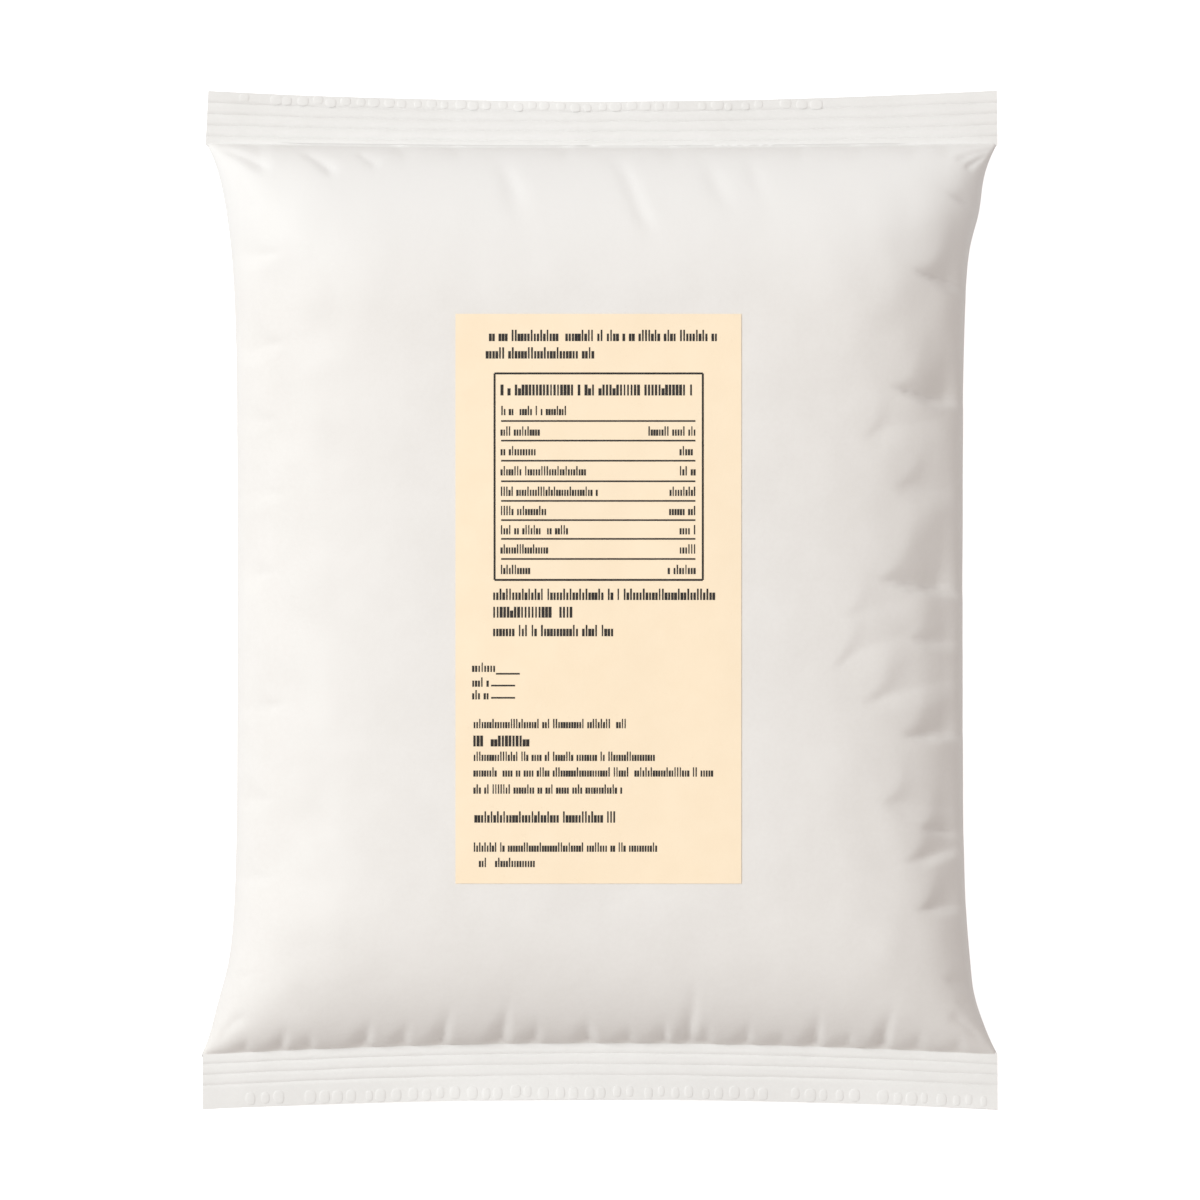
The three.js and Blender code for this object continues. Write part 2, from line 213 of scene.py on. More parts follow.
# %% Where the creases are
# Columns: tip x and y, slope of the line going out, reach of the facet, depth, and wall's width
SHOULDER_CREASES = [
    (72.6, 76.0, -0.34, 7.6, 4.2, 2.6),
    (67.2, 48.6, -0.18, 7.4, 3.8, 2.2),
    (60.3, 37.8, 0.25, 4.0, 0.6, 5.6),
    (68.0, 26.5, -0.10, 6.0, 1.2, 5.0),
    (64.2, 4.6, -0.14, 8.1, 3.9, 2.1),
    (56.6, -4.0, 0.30, 4.0, 0.5, 5.6),
    (71.4, -8.6, -0.10, 5.0, 2.2, 3.0),
    (53.5, -15.8, 0.50, 5.0, 0.7, 6.4),
    (60.7, -23.2, 0.23, 6.0, 1.2, 4.6),
    (69.2, -30.6, -0.02, 6.0, 3.5, 2.0),
    (65.2, -46.4, -0.06, 5.0, 1.2, 4.2),
    (73.0, -52.4, -0.10, 4.4, 2.8, 2.1),
    (70.5, -60.6, 0.31, 4.0, 2.0, 2.4),
    (73.0, -71.4, 0.09, 5.0, 2.6, 2.2),
    (79.2, -86.6, -0.50, 3.2, 1.6, 2.6),
    (82.0, -92.0, -0.80, 3.0, 1.0, 3.0),
    (79.6, 94.0, -0.50, 5.6, 2.8, 2.4),
    (-74.0, 80.0, -0.10, 5.0, 1.0, 4.0),
    (-72.5, 59.0, -0.15, 6.0, 1.2, 4.0),
    (-75.0, 42.0, -0.05, 5.0, 0.8, 4.0),
    (-72.5, 25.0, -0.10, 6.0, 1.2, 4.0),
    (-75.0, 6.0, -0.10, 5.0, 0.8, 4.0),
    (-73.0, -24.0, -0.10, 6.0, 1.2, 4.0),
    (-75.0, -46.0, -0.05, 5.0, 1.0, 4.0),
    (-76.0, -64.0, -0.10, 5.0, 0.9, 3.6),
    (-79.0, -86.0, -0.30, 4.0, 0.9, 3.6),
]
# Columns: start x and y, end x and y, depth, and the widths to the left and right on the way
STRAIGHT_FOLDS = [
    (-70.5, 104.6, -60.0, 98.2, 1.7, 3.6, 2.8),
    (-57.0, 104.2, -50.5, 100.2, 1.2, 3.0, 2.4),
    (91.0, 104.4, 81.6, 102.2, 2.2, 1.9, 1.4),
    (89.5, 103.4, 84.0, 99.4, 1.8, 1.9, 1.5),
    (89.0, -103.5, 80.5, -95.0, 1.0, 3.0, 3.0),
    (-90.0, 104.4, -75.5, 99.6, 2.4, 3.8, 2.8),
    (-84.5, 99.0, -79.0, 88.0, 0.6, 3.0, 3.0),
    (-89.0, -103.5, -80.5, -95.0, 0.9, 3.0, 3.0),
]
# Columns: middle x and y, reach along the bag and across it, lean to the right, and depth
SOFT_DIMPLES = [
    (-21.0, 96.5, 7.0, 2.4, 0.35, 0.75), (6.0, 97.0, 7.5, 2.2, 0.4, 0.75),
    (10.0, 88.0, 3.5, 2.0, 0.3, 0.35), (26.5, 97.0, 5.5, 2.4, 0.4, 0.65),
    (35.5, 98.5, 5.0, 2.0, 0.35, 0.42),
]
# Columns: place across the bag, how far in it reaches, its lean to the right, and its depth
TOP_GATHERS = [
    (-80.0, 3.0, 0.3, 0.6), (-46.0, 3.4, 0.3, 0.45), (-33.0, 3.0, 0.2, 0.4),
    (-7.5, 3.4, 0.1, 0.35), (17.0, 3.4, -0.1, 0.3), (47.0, 3.4, -0.2, 0.35),
    (60.0, 3.0, -0.3, 0.35), (73.0, 3.0, -0.3, 0.4), (81.0, 2.6, -0.3, 0.5),
]
BOTTOM_GATHERS = [
    (-82.5, 2.6, 0.3, 1.0), (-74.4, 3.8, 0.4, 1.3), (-67.4, 3.2, 0.2, 1.1),
    (-55.0, 4.4, 0.3, 1.7), (-45.4, 4.2, 0.2, 1.4), (-37.2, 6.2, 0.3, 1.6),
    (-23.0, 7.0, 0.2, 1.7), (-15.9, 4.2, 0.2, 1.4), (-3.0, 4.6, 0.1, 1.6),
    (5.9, 3.4, 0.1, 1.1), (14.2, 4.2, 0.1, 1.4), (20.6, 9.4, 0.1, 1.4),
    (24.6, 4.0, 0.1, 1.1), (33.8, 4.2, 0.1, 1.2), (42.0, 3.0, 0.1, 0.8), (49.5, 5.6, 0.1, 1.7),
    (57.0, 3.4, 0.1, 0.9), (65.2, 6.6, 0.2, 1.9), (74.2, 3.4, 0.0, 1.0), (83.0, 2.8, 0.0, 0.8),
]
CREASE_FACET_SLOPE = 0.46
CREASE_STEEP_DEPTH = 2.6
CREASE_TIP_CURVE = 0.6
CREASE_FADE = 1.7
CREASE_SHARPNESS = 1.35
CREASE_SOFTNESS = 1.0
CREASE_SIDE = 0.94
CREASE_SIDE_LOSS = 0.5
CREASE_TIP_WIDTH = 0.4
FOLD_TIP_WIDTH = 0.3
FOLD_RAMP = 0.3
GATHER_RISE = 3.4
GATHER_WIDENING = 1.15
GATHER_NARROWING = 0.3


def valley(across):
    """1 on the line of a valley, 0 one width away, with a sharp bottom."""
    return np.maximum(0, 1 - np.abs(across)) ** CREASE_SHARPNESS


def soft_positive(value):
    """Near 0 below 0 and near the value above it, with a soft bend between."""
    return (value + np.sqrt(value ** 2 + CREASE_SOFTNESS ** 2)) / 2


def crease_depth(x, y, crease):
    """A fold like a shingle's edge: a broad facet above its line, and a short steep one below."""
    tip_x, tip_y, slope, reach, depth, below = crease
    out = math.copysign(1, tip_x) * (x - tip_x)
    over = y - tip_y - slope * out
    above = np.maximum(0, over)
    ridge = reach * (1 - np.exp(-above / (CREASE_TIP_CURVE * reach)))
    slope_of_facet = CREASE_FACET_SLOPE * math.sqrt(min(1, depth / CREASE_STEEP_DEPTH))
    opened = slope_of_facet * soft_positive(out - ridge)
    fade = np.exp(-(above / (CREASE_FADE * reach)) ** 2)
    width = below * (CREASE_TIP_WIDTH + (1 - CREASE_TIP_WIDTH) * np.clip(out / reach, 0, 1))
    side = 1 - CREASE_SIDE_LOSS * smoothstep(CREASE_SIDE, 1, np.abs(x) / half_width(y))
    return depth * np.tanh(opened / depth) * fade * valley(np.minimum(0, over) / width) * side


def fold_depth(x, y, fold):
    """A straight valley that widens from its start and fades at its end."""
    x0, y0, x1, y1, depth, left, right = fold
    length = math.hypot(x1 - x0, y1 - y0)
    share = ((x - x0) * (x1 - x0) + (y - y0) * (y1 - y0)) / length ** 2
    beside = ((y - y0) * (x1 - x0) - (x - x0) * (y1 - y0)) / length
    wide = np.where(beside > 0, left, right)
    wide = wide * (FOLD_TIP_WIDTH + (1 - FOLD_TIP_WIDTH) * np.clip(share, 0, 1))
    strength = smoothstep(0, FOLD_RAMP, share) * (1 - smoothstep(1 - FOLD_RAMP, 1, share))
    return depth * strength * valley(beside / wide)


def dimple_depth(x, y, dimple):
    """A soft long hollow, whose lower end leans to the right."""
    middle_x, middle_y, along, across, lean, depth = dimple
    up = y - middle_y
    beside = x - middle_x + lean * up
    return depth * np.exp(-(up / along) ** 2 - (beside / across) ** 2)


def gather_depth(x, y, end, gathers):
    """Short pleats that start at a seal, each with a broad left wall and a steeper right one."""
    away = np.maximum(0, inset(end, y))
    total = 0
    left, right = end.pleat_widths
    for place, reach, lean, depth in gathers:
        share = np.minimum(away / reach, 2)
        beside = x - place - lean * reach * share
        wide = np.where(beside < 0, left, right) * (GATHER_WIDENING - GATHER_NARROWING * share)
        total = total + depth * np.exp(-(away / reach) ** 2) * valley(beside / wide)
    return total


print(f"{len(SHOULDER_CREASES)} creases, {len(TOP_GATHERS) + len(BOTTOM_GATHERS)} gathers")

# %% [markdown]
# ## Soft unevenness
#
# Sugar doesn't fill a bag evenly, so the taut film has broad shallow swells, and creases aren't
# ruled lines. Both come from Blender's own smooth noise, which is the same in every run. The
# swells move the surface a few tenths of a millimetre. The wander moves the place where the
# creases are looked up, which bends them a little.

# %% Swells and wander
# Columns: size of the bumps, their height, and the place in the noise
SWELLS = [(26.0, 0.35, 3.0), (11.0, 0.14, 17.0), (5.0, 0.04, 31.0)]
WANDER_SIZE = 9.0
WANDER = 0.9
WANDER_ACROSS = 53.0
WANDER_ALONG = 71.0
SHOULDER_WAVE_SIZE = 10.0
SHOULDER_WAVE = 0.5
SHOULDER_WAVE_PLACE = 91.0
SHOULDER_STARTS = (0.6, 0.84)
SHOULDER_ENDS = (0.92, 1)
BACK_CREASES_RISE = (0.5, 9)
BACK_SWELLS_RISE = (0.5, 6)


def smooth_noise(x, y, size, offset):
    """Blender's noise from -1 to 1 over the film, for bumps about `size` mm across."""
    points = zip(x.ravel() / size, y.ravel() / size)
    values = [noise.noise(Vector((a, b, offset))) for a, b in points]
    return np.array(values).reshape(x.shape)


def swell(x, y):
    return sum(height * smooth_noise(x, y, size, offset) for size, height, offset in SWELLS)


def relief(x, y, z, on_back):
    """How far the film sinks below its smooth shape."""
    wander_x = x + WANDER * smooth_noise(x, y, WANDER_SIZE, WANDER_ACROSS)
    wander_y = y + WANDER * smooth_noise(x, y, WANDER_SIZE, WANDER_ALONG)
    depth = np.zeros_like(x)
    for crease in SHOULDER_CREASES:
        depth += crease_depth(wander_x, wander_y, crease)
    for fold in STRAIGHT_FOLDS:
        depth += fold_depth(wander_x, wander_y, fold)
    for dimple in SOFT_DIMPLES:
        depth += dimple_depth(wander_x, wander_y, dimple)
    p = np.abs(x) / half_width(y)
    shoulder = smoothstep(*SHOULDER_STARTS, p) * (1 - smoothstep(*SHOULDER_ENDS, p))
    waves = smooth_noise(x, y, SHOULDER_WAVE_SIZE, SHOULDER_WAVE_PLACE)
    depth += SHOULDER_WAVE * shoulder * waves
    if on_back:
        depth *= smoothstep(*BACK_CREASES_RISE, z)
        depth += swell(x, y) * smoothstep(*BACK_SWELLS_RISE, z)
        return depth * fill(y)
    gathers = gather_depth(wander_x, y, TOP_END, TOP_GATHERS)
    gathers += gather_depth(wander_x, y, BOTTOM_END, BOTTOM_GATHERS)
    depth = (depth + swell(x, y)) * fill(y)
    return depth + smoothstep(0, GATHER_RISE, z - SIDE_HEIGHT) * gathers


# %% [markdown]
# ## The film of the body
#
# The body is a grid: rows are cross-sections from one seal line to the other, and columns are
# spread evenly along the film, so that the steep shoulders get as many points as the flat front.
# The front and back share their side points, which closes the tube.
#
# Relief could be a displacement along the normals, but that would notch the bag's outline at
# every crease. Points sink towards the inside of the bag instead, and straight down at the sides.

# %% Lay out the grid
FRONT_COLUMNS = 252
BACK_COLUMNS = 72
BODY_ROWS = 296
ROW_CROWDING = 0.4
CORE_INSET = 24.0
FRONT_CORE_DROP = 30.0
BACK_CORE_DROP = 4.0
STRAIGHT_DOWN = 0.9
TUCKED_IN = 0.6
SECTION_SAMPLES = 801


def spread_along_film(height, y, count):
    """The x of evenly spaced points along one cross-section's film."""
    half = half_width(y)
    x = -half * np.cos(np.linspace(0, math.pi, SECTION_SAMPLES))
    z = height(x, y)
    lengths = np.concatenate([[0], np.cumsum(np.hypot(np.diff(x), np.diff(z)))])
    return np.interp(np.linspace(0, lengths[-1], count + 1), lengths, x)


def body_stations():
    """Rows from the bottom seal to the top one, crowded towards both."""
    t = np.linspace(-1, 1, BODY_ROWS + 1)
    crowded = (1 - ROW_CROWDING) * t + ROW_CROWDING * np.sin(t * math.pi / 2)
    low = -BOTTOM_END.line - TUCKED_IN
    high = TOP_END.line + TUCKED_IN
    return low + (high - low) * (crowded + 1) / 2


def sunk(x, y, z, depth, core_drop):
    """Points moved by depth towards a core line, which lies core_drop below the widest line.

    At the sides they move straight down instead, which leaves the outline smooth.
    """
    place = np.stack([shifted(x, y), bowed(x, y), z], axis=-1)
    core = np.stack([
        np.clip(x, CORE_INSET - BODY_HALF, BODY_HALF - CORE_INSET),
        np.clip(y, CORE_INSET - BOTTOM_END.line, TOP_END.line - CORE_INSET),
        np.full_like(x, SIDE_HEIGHT - core_drop),
    ], axis=-1)
    inwards = core - place
    inwards /= np.linalg.norm(inwards, axis=-1, keepdims=True)
    down = smoothstep(STRAIGHT_DOWN, 1, np.abs(x) / half_width(y))[..., None]
    inwards = (1 - down) * inwards + down * np.array([0, 0, -1])
    return place + depth[..., None] * inwards


def film_face(height, columns, on_back):
    rows = body_stations()
    x = np.array([spread_along_film(height, y, columns) for y in rows])
    y = np.repeat(rows[:, None], columns + 1, axis=1)
    z = height(x, y)
    core_drop = BACK_CORE_DROP if on_back else FRONT_CORE_DROP
    points = sunk(x, y, z, relief(x, y, z, on_back), core_drop)
    points[..., 2] = np.maximum(points[..., 2], 0)
    return points


front = film_face(front_height, FRONT_COLUMNS, on_back=False)
back = film_face(back_height, BACK_COLUMNS, on_back=True)
print(f"front film {front.shape[0]} by {front.shape[1]} points")

# %% [markdown]
# The rings of points become a closed mesh. The same helper makes the label later: it joins rings
# into a tube, fills the two end openings, turns the normals outwards, and keeps edges sharper
# than an angle crisp. The film bends softly everywhere, so it has no crisp edge.

# %% Make the mesh
SHARP_ANGLE = math.radians(35)
NO_SHARP_EDGE = math.pi


def in_scene(name, data):
    """A new object in the scene that shows a mesh, a light or a camera."""
    made = bpy.data.objects.new(name, data)
    bpy.context.scene.collection.objects.link(made)
    return made


def tube_faces(row_count, ring_size):
    """Quads of a tube whose rings follow each other in the vertex list."""
    faces = []
    for row in range(row_count - 1):
        for i in range(ring_size):
            a = row * ring_size + i
            b = row * ring_size + (i + 1) % ring_size
            faces.append((a, b, b + ring_size, a + ring_size))
    return faces


def closed_tube(name, rings, sharp_angle):
    """A tube object from rings of points in millimetres, with its two end openings filled."""
    rows, ring_size = rings.shape[:2]
    mesh = bpy.data.meshes.new(name)
    mesh.from_pydata((rings.reshape(-1, 3) * MM).tolist(), [], tube_faces(rows, ring_size))
    mesh.validate()
    mesh.polygons.foreach_set("use_smooth", [True] * len(mesh.polygons))
    shell = bmesh.new()
    shell.from_mesh(mesh)
    filled = bmesh.ops.holes_fill(shell, edges=[e for e in shell.edges if e.is_boundary])
    bmesh.ops.triangulate(shell, faces=filled["faces"], ngon_method="BEAUTY")
    bmesh.ops.recalc_face_normals(shell, faces=shell.faces)
    shell.to_mesh(mesh)
    shell.free()
    mesh.set_sharp_from_angle(angle=sharp_angle)
    return in_scene(name, mesh)


# Each ring goes right along the front, then left along the back without the back's end points
film_rings = np.concatenate([front, back[:, -2:0:-1]], axis=1)
film = closed_tube("film", film_rings, NO_SHARP_EDGE)
print(f"film: {len(film.data.polygons)} faces")

# %% [markdown]
# ## The label
#
# A paper label takes the shape of the film under it. It could be projected onto the film with
# a shrinkwrap modifier. The film is a formula, though, so the label is a grid over the same height
# and swells, lifted by a hair so that no film shows through it. It is a closed thin sheet.

# %% Make the label
LABEL_STEP = 1.0
LABEL_LIFT = 0.12
LABEL_THICKNESS = 0.08
label_centre = (label_low + label_high) / 2 / MM
label_size = (label_high - label_low) / MM


def label_height(x, y):
    """The top of the film where the label is, with a little clearance."""
    return front_height(x, y) - swell(x, y) + LABEL_LIFT


def even_steps(centre, length):
    """Places about LABEL_STEP apart over a length."""
    return centre + length * np.linspace(-0.5, 0.5, int(length / LABEL_STEP) + 1)


def make_label():
    columns = even_steps(label_centre.x, label_size.x)
    x, y = np.meshgrid(columns, even_steps(label_centre.y, label_size.y))
    z = label_height(x, y)
    upper = np.stack([x, y, z + LABEL_THICKNESS], axis=-1)
    lower = np.stack([x, y, z], axis=-1)
    rings = np.concatenate([upper, lower[:, ::-1]], axis=1)
    return closed_tube("label_paper", rings, SHARP_ANGLE)


label = make_label()
print(f"label {label_size.x:.1f} by {label_size.y:.1f} mm")

# %% [markdown]
# ## Helpers for node trees
#
# Materials and Geometry Nodes are both trees of small boxes joined by links. Built by hand in the
# editor they are hard to read back, so here one short function adds a node and fills its inputs,
# either with a plain value or with a link from an earlier node.

# %% Add a node, and start a group


def add_node(tree, kind, inputs=None, **settings):
    """Add one node, with its settings, and its inputs by name or number."""
    made = tree.nodes.new(kind)
    for name, value in settings.items():
        setattr(made, name, value)
    for key, value in (inputs or {}).items():
        if isinstance(value, bpy.types.NodeSocket):
            tree.links.new(value, made.inputs[key])
        else:
            made.inputs[key].default_value = value
    return made


def maths(tree, operation, a, b=0.0):
    return add_node(tree, "ShaderNodeMath", {0: a, 1: b}, operation=operation).outputs[0]


def start_group(name, kind, inputs, outputs):
    """A node group with named inputs (name, socket type, default) and outputs.

    It comes with the sockets that its nodes read from, and the node that takes its results.
    """
    tree = bpy.data.node_groups.new(name, kind)
    for label, socket_type, default in inputs:
        socket = tree.interface.new_socket(label, in_out="INPUT", socket_type=socket_type)
        if default is not None:
            socket.default_value = default
    for label, socket_type in outputs:
        tree.interface.new_socket(label, in_out="OUTPUT", socket_type=socket_type)
    return tree, tree.nodes.new("NodeGroupInput").outputs, tree.nodes.new("NodeGroupOutput")


# %% [markdown]
# ## A finish shared by the film and the paper
#
# Both surfaces are nearly one colour, yet neither is flat: the film shows the sugar's grain as
# faint bumps and clouds, and the paper shows its fibres. One shader group makes both. It mixes two
# close colours by soft noise, varies the roughness, and turns two sizes of noise into a bump. It
# reads Object coordinates, which are in metres, so a scale of 900 makes bumps of about a
# millimetre.

# %% The uneven surface group
CLOUD_SHARE = 0.65
GRAIN_SHARE = 0.35
BLEND_LOW = 0.38
BLEND_HIGH = 0.62
GLOSS_LOW = 0.35
GLOSS_HIGH = 0.65
SOFT_BUMP_HEIGHT = 0.6 * MM
GRAIN_BUMP_HEIGHT = 0.1 * MM
surface, given, result = start_group(
    "uneven_surface", "ShaderNodeTree",
    [
        ("Light Colour", "NodeSocketColor", (0.9, 0.9, 0.9, 1)),
        ("Dark Colour", "NodeSocketColor", (0.8, 0.8, 0.8, 1)),
        ("Cloud Scale", "NodeSocketFloat", 60.0),
        ("Grain Scale", "NodeSocketFloat", 900.0),
        ("Soft Bump", "NodeSocketFloat", 0.2),
        ("Grain Bump", "NodeSocketFloat", 0.2),
        ("Smoothest", "NodeSocketFloat", 0.45),
        ("Roughest", "NodeSocketFloat", 0.6),
    ],
    [
        ("Color", "NodeSocketColor"),
        ("Roughness", "NodeSocketFloat"),
        ("Normal", "NodeSocketVector"),
    ],
)
place = add_node(surface, "ShaderNodeTexCoord").outputs["Object"]
clouds = add_node(surface, "ShaderNodeTexNoise", {
    "Vector": place, "Scale": given["Cloud Scale"], "Detail": 4.0, "Roughness": 0.6,
})
grain = add_node(surface, "ShaderNodeTexNoise", {
    "Vector": place, "Scale": given["Grain Scale"], "Detail": 3.0, "Roughness": 0.55,
})
speckled = maths(surface, "MULTIPLY", grain.outputs["Fac"], GRAIN_SHARE)
clouded = maths(surface, "MULTIPLY", clouds.outputs["Fac"], CLOUD_SHARE)
spread = add_node(surface, "ShaderNodeMapRange", {
    "Value": maths(surface, "ADD", clouded, speckled), "From Min": BLEND_LOW, "From Max": BLEND_HIGH,
})
tint = add_node(surface, "ShaderNodeMix", {
    "Factor": spread.outputs["Result"],
    6: given["Dark Colour"], 7: given["Light Colour"],
}, data_type="RGBA")
gloss = add_node(surface, "ShaderNodeMapRange", {
    "Value": grain.outputs["Fac"], "From Min": GLOSS_LOW, "From Max": GLOSS_HIGH,
    "To Min": given["Smoothest"], "To Max": given["Roughest"],
})
soft = add_node(surface, "ShaderNodeBump", {
    "Height": clouds.outputs["Fac"], "Strength": given["Soft Bump"],
    "Distance": SOFT_BUMP_HEIGHT,
})
fine = add_node(surface, "ShaderNodeBump", {
    "Height": grain.outputs["Fac"], "Strength": given["Grain Bump"],
    "Distance": GRAIN_BUMP_HEIGHT, "Normal": soft.outputs["Normal"],
})
surface.links.new(tint.outputs[2], result.inputs["Color"])
surface.links.new(gloss.outputs["Result"], result.inputs["Roughness"])
surface.links.new(fine.outputs["Normal"], result.inputs["Normal"])
print(f"the group has {len(surface.nodes)} nodes")

# %% [markdown]
# Four materials use the group, with their own numbers:
#
# - The film is a satin white plastic, a little warm. Its clouds are the sugar behind it.
# - The pressed film of the seals has nothing behind it, so it is cooler and smoother.
# - The paper is cream and matte, with a grain too fine to see from afar.
# - The ink is a soft black that lies on the paper, uneven as print is.

# %% Film, paper and ink


def surface_material(name, specular, values):
    """A material whose colour, roughness and normal come from the shared group."""
    made = bpy.data.materials.new(name)
    made.use_nodes = True
    tree = made.node_tree
    shader = tree.nodes["Principled BSDF"]
    shader.inputs["Specular IOR Level"].default_value = specular
    finish = add_node(tree, "ShaderNodeGroup", node_tree=surface)
    for label, value in values.items():
        finish.inputs[label].default_value = value
    tree.links.new(finish.outputs["Color"], shader.inputs["Base Color"])
    tree.links.new(finish.outputs["Roughness"], shader.inputs["Roughness"])
    tree.links.new(finish.outputs["Normal"], shader.inputs["Normal"])
    return made


film_material = surface_material("white_film", 0.25, {
    "Light Colour": (0.846, 0.831, 0.812, 1), "Dark Colour": (0.821, 0.804, 0.783, 1),
    "Cloud Scale": 70.0, "Grain Scale": 1000.0, "Soft Bump": 0.16, "Grain Bump": 0.35,
    "Smoothest": 0.48, "Roughest": 0.62,
})
pressed_material = surface_material("pressed_film", 0.3, {
    "Light Colour": (0.839, 0.837, 0.829, 1), "Dark Colour": (0.812, 0.810, 0.800, 1),
    "Cloud Scale": 110.0, "Grain Scale": 1500.0, "Soft Bump": 0.1, "Grain Bump": 0.2,
    "Smoothest": 0.4, "Roughest": 0.54,
})
paper_material = surface_material("cream_paper", 0.2, {
    "Light Colour": (1.0, 0.848, 0.64, 1), "Dark Colour": (0.985, 0.828, 0.616, 1),
    "Cloud Scale": 150.0, "Grain Scale": 3200.0, "Soft Bump": 0.05, "Grain Bump": 0.3,
    "Smoothest": 0.62, "Roughest": 0.78,
})
ink_material = surface_material("dark_ink", 0.3, {
    "Light Colour": (0.034, 0.029, 0.025, 1), "Dark Colour": (0.016, 0.014, 0.012, 1),
    "Cloud Scale": 400.0, "Grain Scale": 5000.0, "Soft Bump": 0.02, "Grain Bump": 0.2,
    "Smoothest": 0.45, "Roughest": 0.6,
})

# %% [markdown]
# Towards the top seal the film's colour is mixed with a lighter and cooler one by the place along
# the bag. This is painted light: the cooler, brighter light on the top end is painted into the colour.

# %% Painted cooler light on the film towards the top seal
TOP_PAINTED_LIGHT_COLOUR = (0.858, 0.855, 0.847, 1)
PAINTED_LIGHT_FROM = 60
PAINTED_LIGHT_TO = 100
tree = film_material.node_tree
place = add_node(tree, "ShaderNodeTexCoord").outputs["Object"]
along = add_node(tree, "ShaderNodeSeparateXYZ", {0: place}).outputs["Y"]
painted_light_share = add_node(tree, "ShaderNodeMapRange", {
    "Value": along, "From Min": PAINTED_LIGHT_FROM * MM, "From Max": PAINTED_LIGHT_TO * MM,
}, interpolation_type="SMOOTHSTEP").outputs["Result"]
base_colour = tree.nodes["Principled BSDF"].inputs["Base Color"]
# Painted light: the film's colour turns lighter and cooler towards the top seal
painted_light_film_colour = add_node(tree, "ShaderNodeMix", {
    "Factor": painted_light_share, 6: base_colour.links[0].from_socket, 7: TOP_PAINTED_LIGHT_COLOUR,
}, data_type="RGBA").outputs[2]
tree.links.new(painted_light_film_colour, base_colour)

film.data.materials.append(film_material)
label.data.materials.append(paper_material)
print("materials:", [material.name for material in bpy.data.materials])

# %% [markdown]
# ## The crimped end seals
#
# Hot jaws with grooved faces press the two films together, so both faces of a seal carry the
# same grooves. A displacement modifier on a strip would do, but the grooves have to follow the
# bowed seal line and stop at the cut edge. The shape follows a rule, so Geometry Nodes make it.
#
# The tree starts from a flat grid one unit wide and long. Across the grid stands for across the
# bag, and along it stands for the share of the way from the seal line to the cut edge. It starts
# a little inside the seal line, so that the seal overlaps the film of the body.

# %% The tree of a seal: its inputs and its grid
LENGTH_SOCKETS = [
    "Bag Width", "Seal Line", "Line Bow", "Cut Edge", "Cut Bow", "Groove Pitch", "First Groove",
    "Groove Depth", "Groove Half Width", "Groove Drift", "Height", "Thickness", "Droop", "Wave",
    "Wave Length", "Tuck",
]
crimped, given, result = start_group(
    "crimped_seal", "GeometryNodeTree",
    [
        ("Geometry", "NodeSocketGeometry", None),
        ("Columns", "NodeSocketInt", 461),
        ("Rows", "NodeSocketInt", 70),
        ("Direction", "NodeSocketFloat", 1.0),
        ("Overlap Share", "NodeSocketFloat", 0.04),
        ("Grooves", "NodeSocketInt", 4),
        ("Groove Unevenness", "NodeSocketFloat", 0.7),
        ("Wave Phase", "NodeSocketFloat", 0.0),
        ("Material", "NodeSocketMaterial", None),
    ] + [(name, "NodeSocketFloat", 0.001) for name in LENGTH_SOCKETS],
    [("Geometry", "NodeSocketGeometry")],
)


def times(*values):
    """Math nodes of the seal's tree that multiply values. The next two add and subtract."""
    product = values[0]
    for value in values[1:]:
        product = maths(crimped, "MULTIPLY", product, value)
    return product


def plus(*values):
    total = values[0]
    for value in values[1:]:
        total = maths(crimped, "ADD", total, value)
    return total


def minus(a, b):
    return maths(crimped, "SUBTRACT", a, b)


def hand_out(tree, geometry, material, result):
    """End a tree: the geometry takes its material and goes to the output."""
    coloured = add_node(tree, "GeometryNodeSetMaterial", {
        "Geometry": geometry, "Material": material,
    })
    tree.links.new(coloured.outputs["Geometry"], result.inputs["Geometry"])


grid = add_node(crimped, "GeometryNodeMeshGrid", {
    "Size X": 1.0, "Size Y": 1.0, "Vertices X": given["Columns"], "Vertices Y": given["Rows"],
})
here = add_node(crimped, "GeometryNodeInputPosition")
grid_place = add_node(crimped, "ShaderNodeSeparateXYZ", {0: here.outputs["Position"]})
across = grid_place.outputs["X"]
share = add_node(crimped, "ShaderNodeMapRange", {
    "Value": grid_place.outputs["Y"], "From Min": -0.5, "From Max": 0.5,
    "To Min": times(-1.0, given["Overlap Share"]),
}).outputs["Result"]

# %% [markdown]
# First comes the place in the plane. Both the seal line and the cut edge are bowed, because the
# filling draws the middle of the bag in. The tuck draws the left end in towards the middle, half
# as far at the seal line as at the cut edge.

# %% The tree of a seal: the place in the plane
to_left = maths(crimped, "MAXIMUM", times(-2.0, across), 0.0)
pulled = plus(0.5, times(0.5, maths(crimped, "MAXIMUM", share, 0.0)))
tucked = times(given["Tuck"], to_left, to_left, to_left, to_left, pulled)
x = plus(times(given["Bag Width"], across), tucked)
from_middle = maths(crimped, "DIVIDE", x, times(0.5, given["Bag Width"]))
crown_here = minus(1.0, times(from_middle, from_middle))
line = minus(given["Seal Line"], times(given["Line Bow"], crown_here))
cut = minus(given["Cut Edge"], times(given["Cut Bow"], crown_here))
y = times(given["Direction"], plus(line, times(share, minus(cut, line))))

# %% [markdown]
# Each point then belongs to the groove nearest to it, and the distance from that groove's line
# gives its depth, as a bell curve. Noise makes each groove drift and change its depth along its
# way, because no real groove is quite even. Every groove reads the noise in a lane of its own.

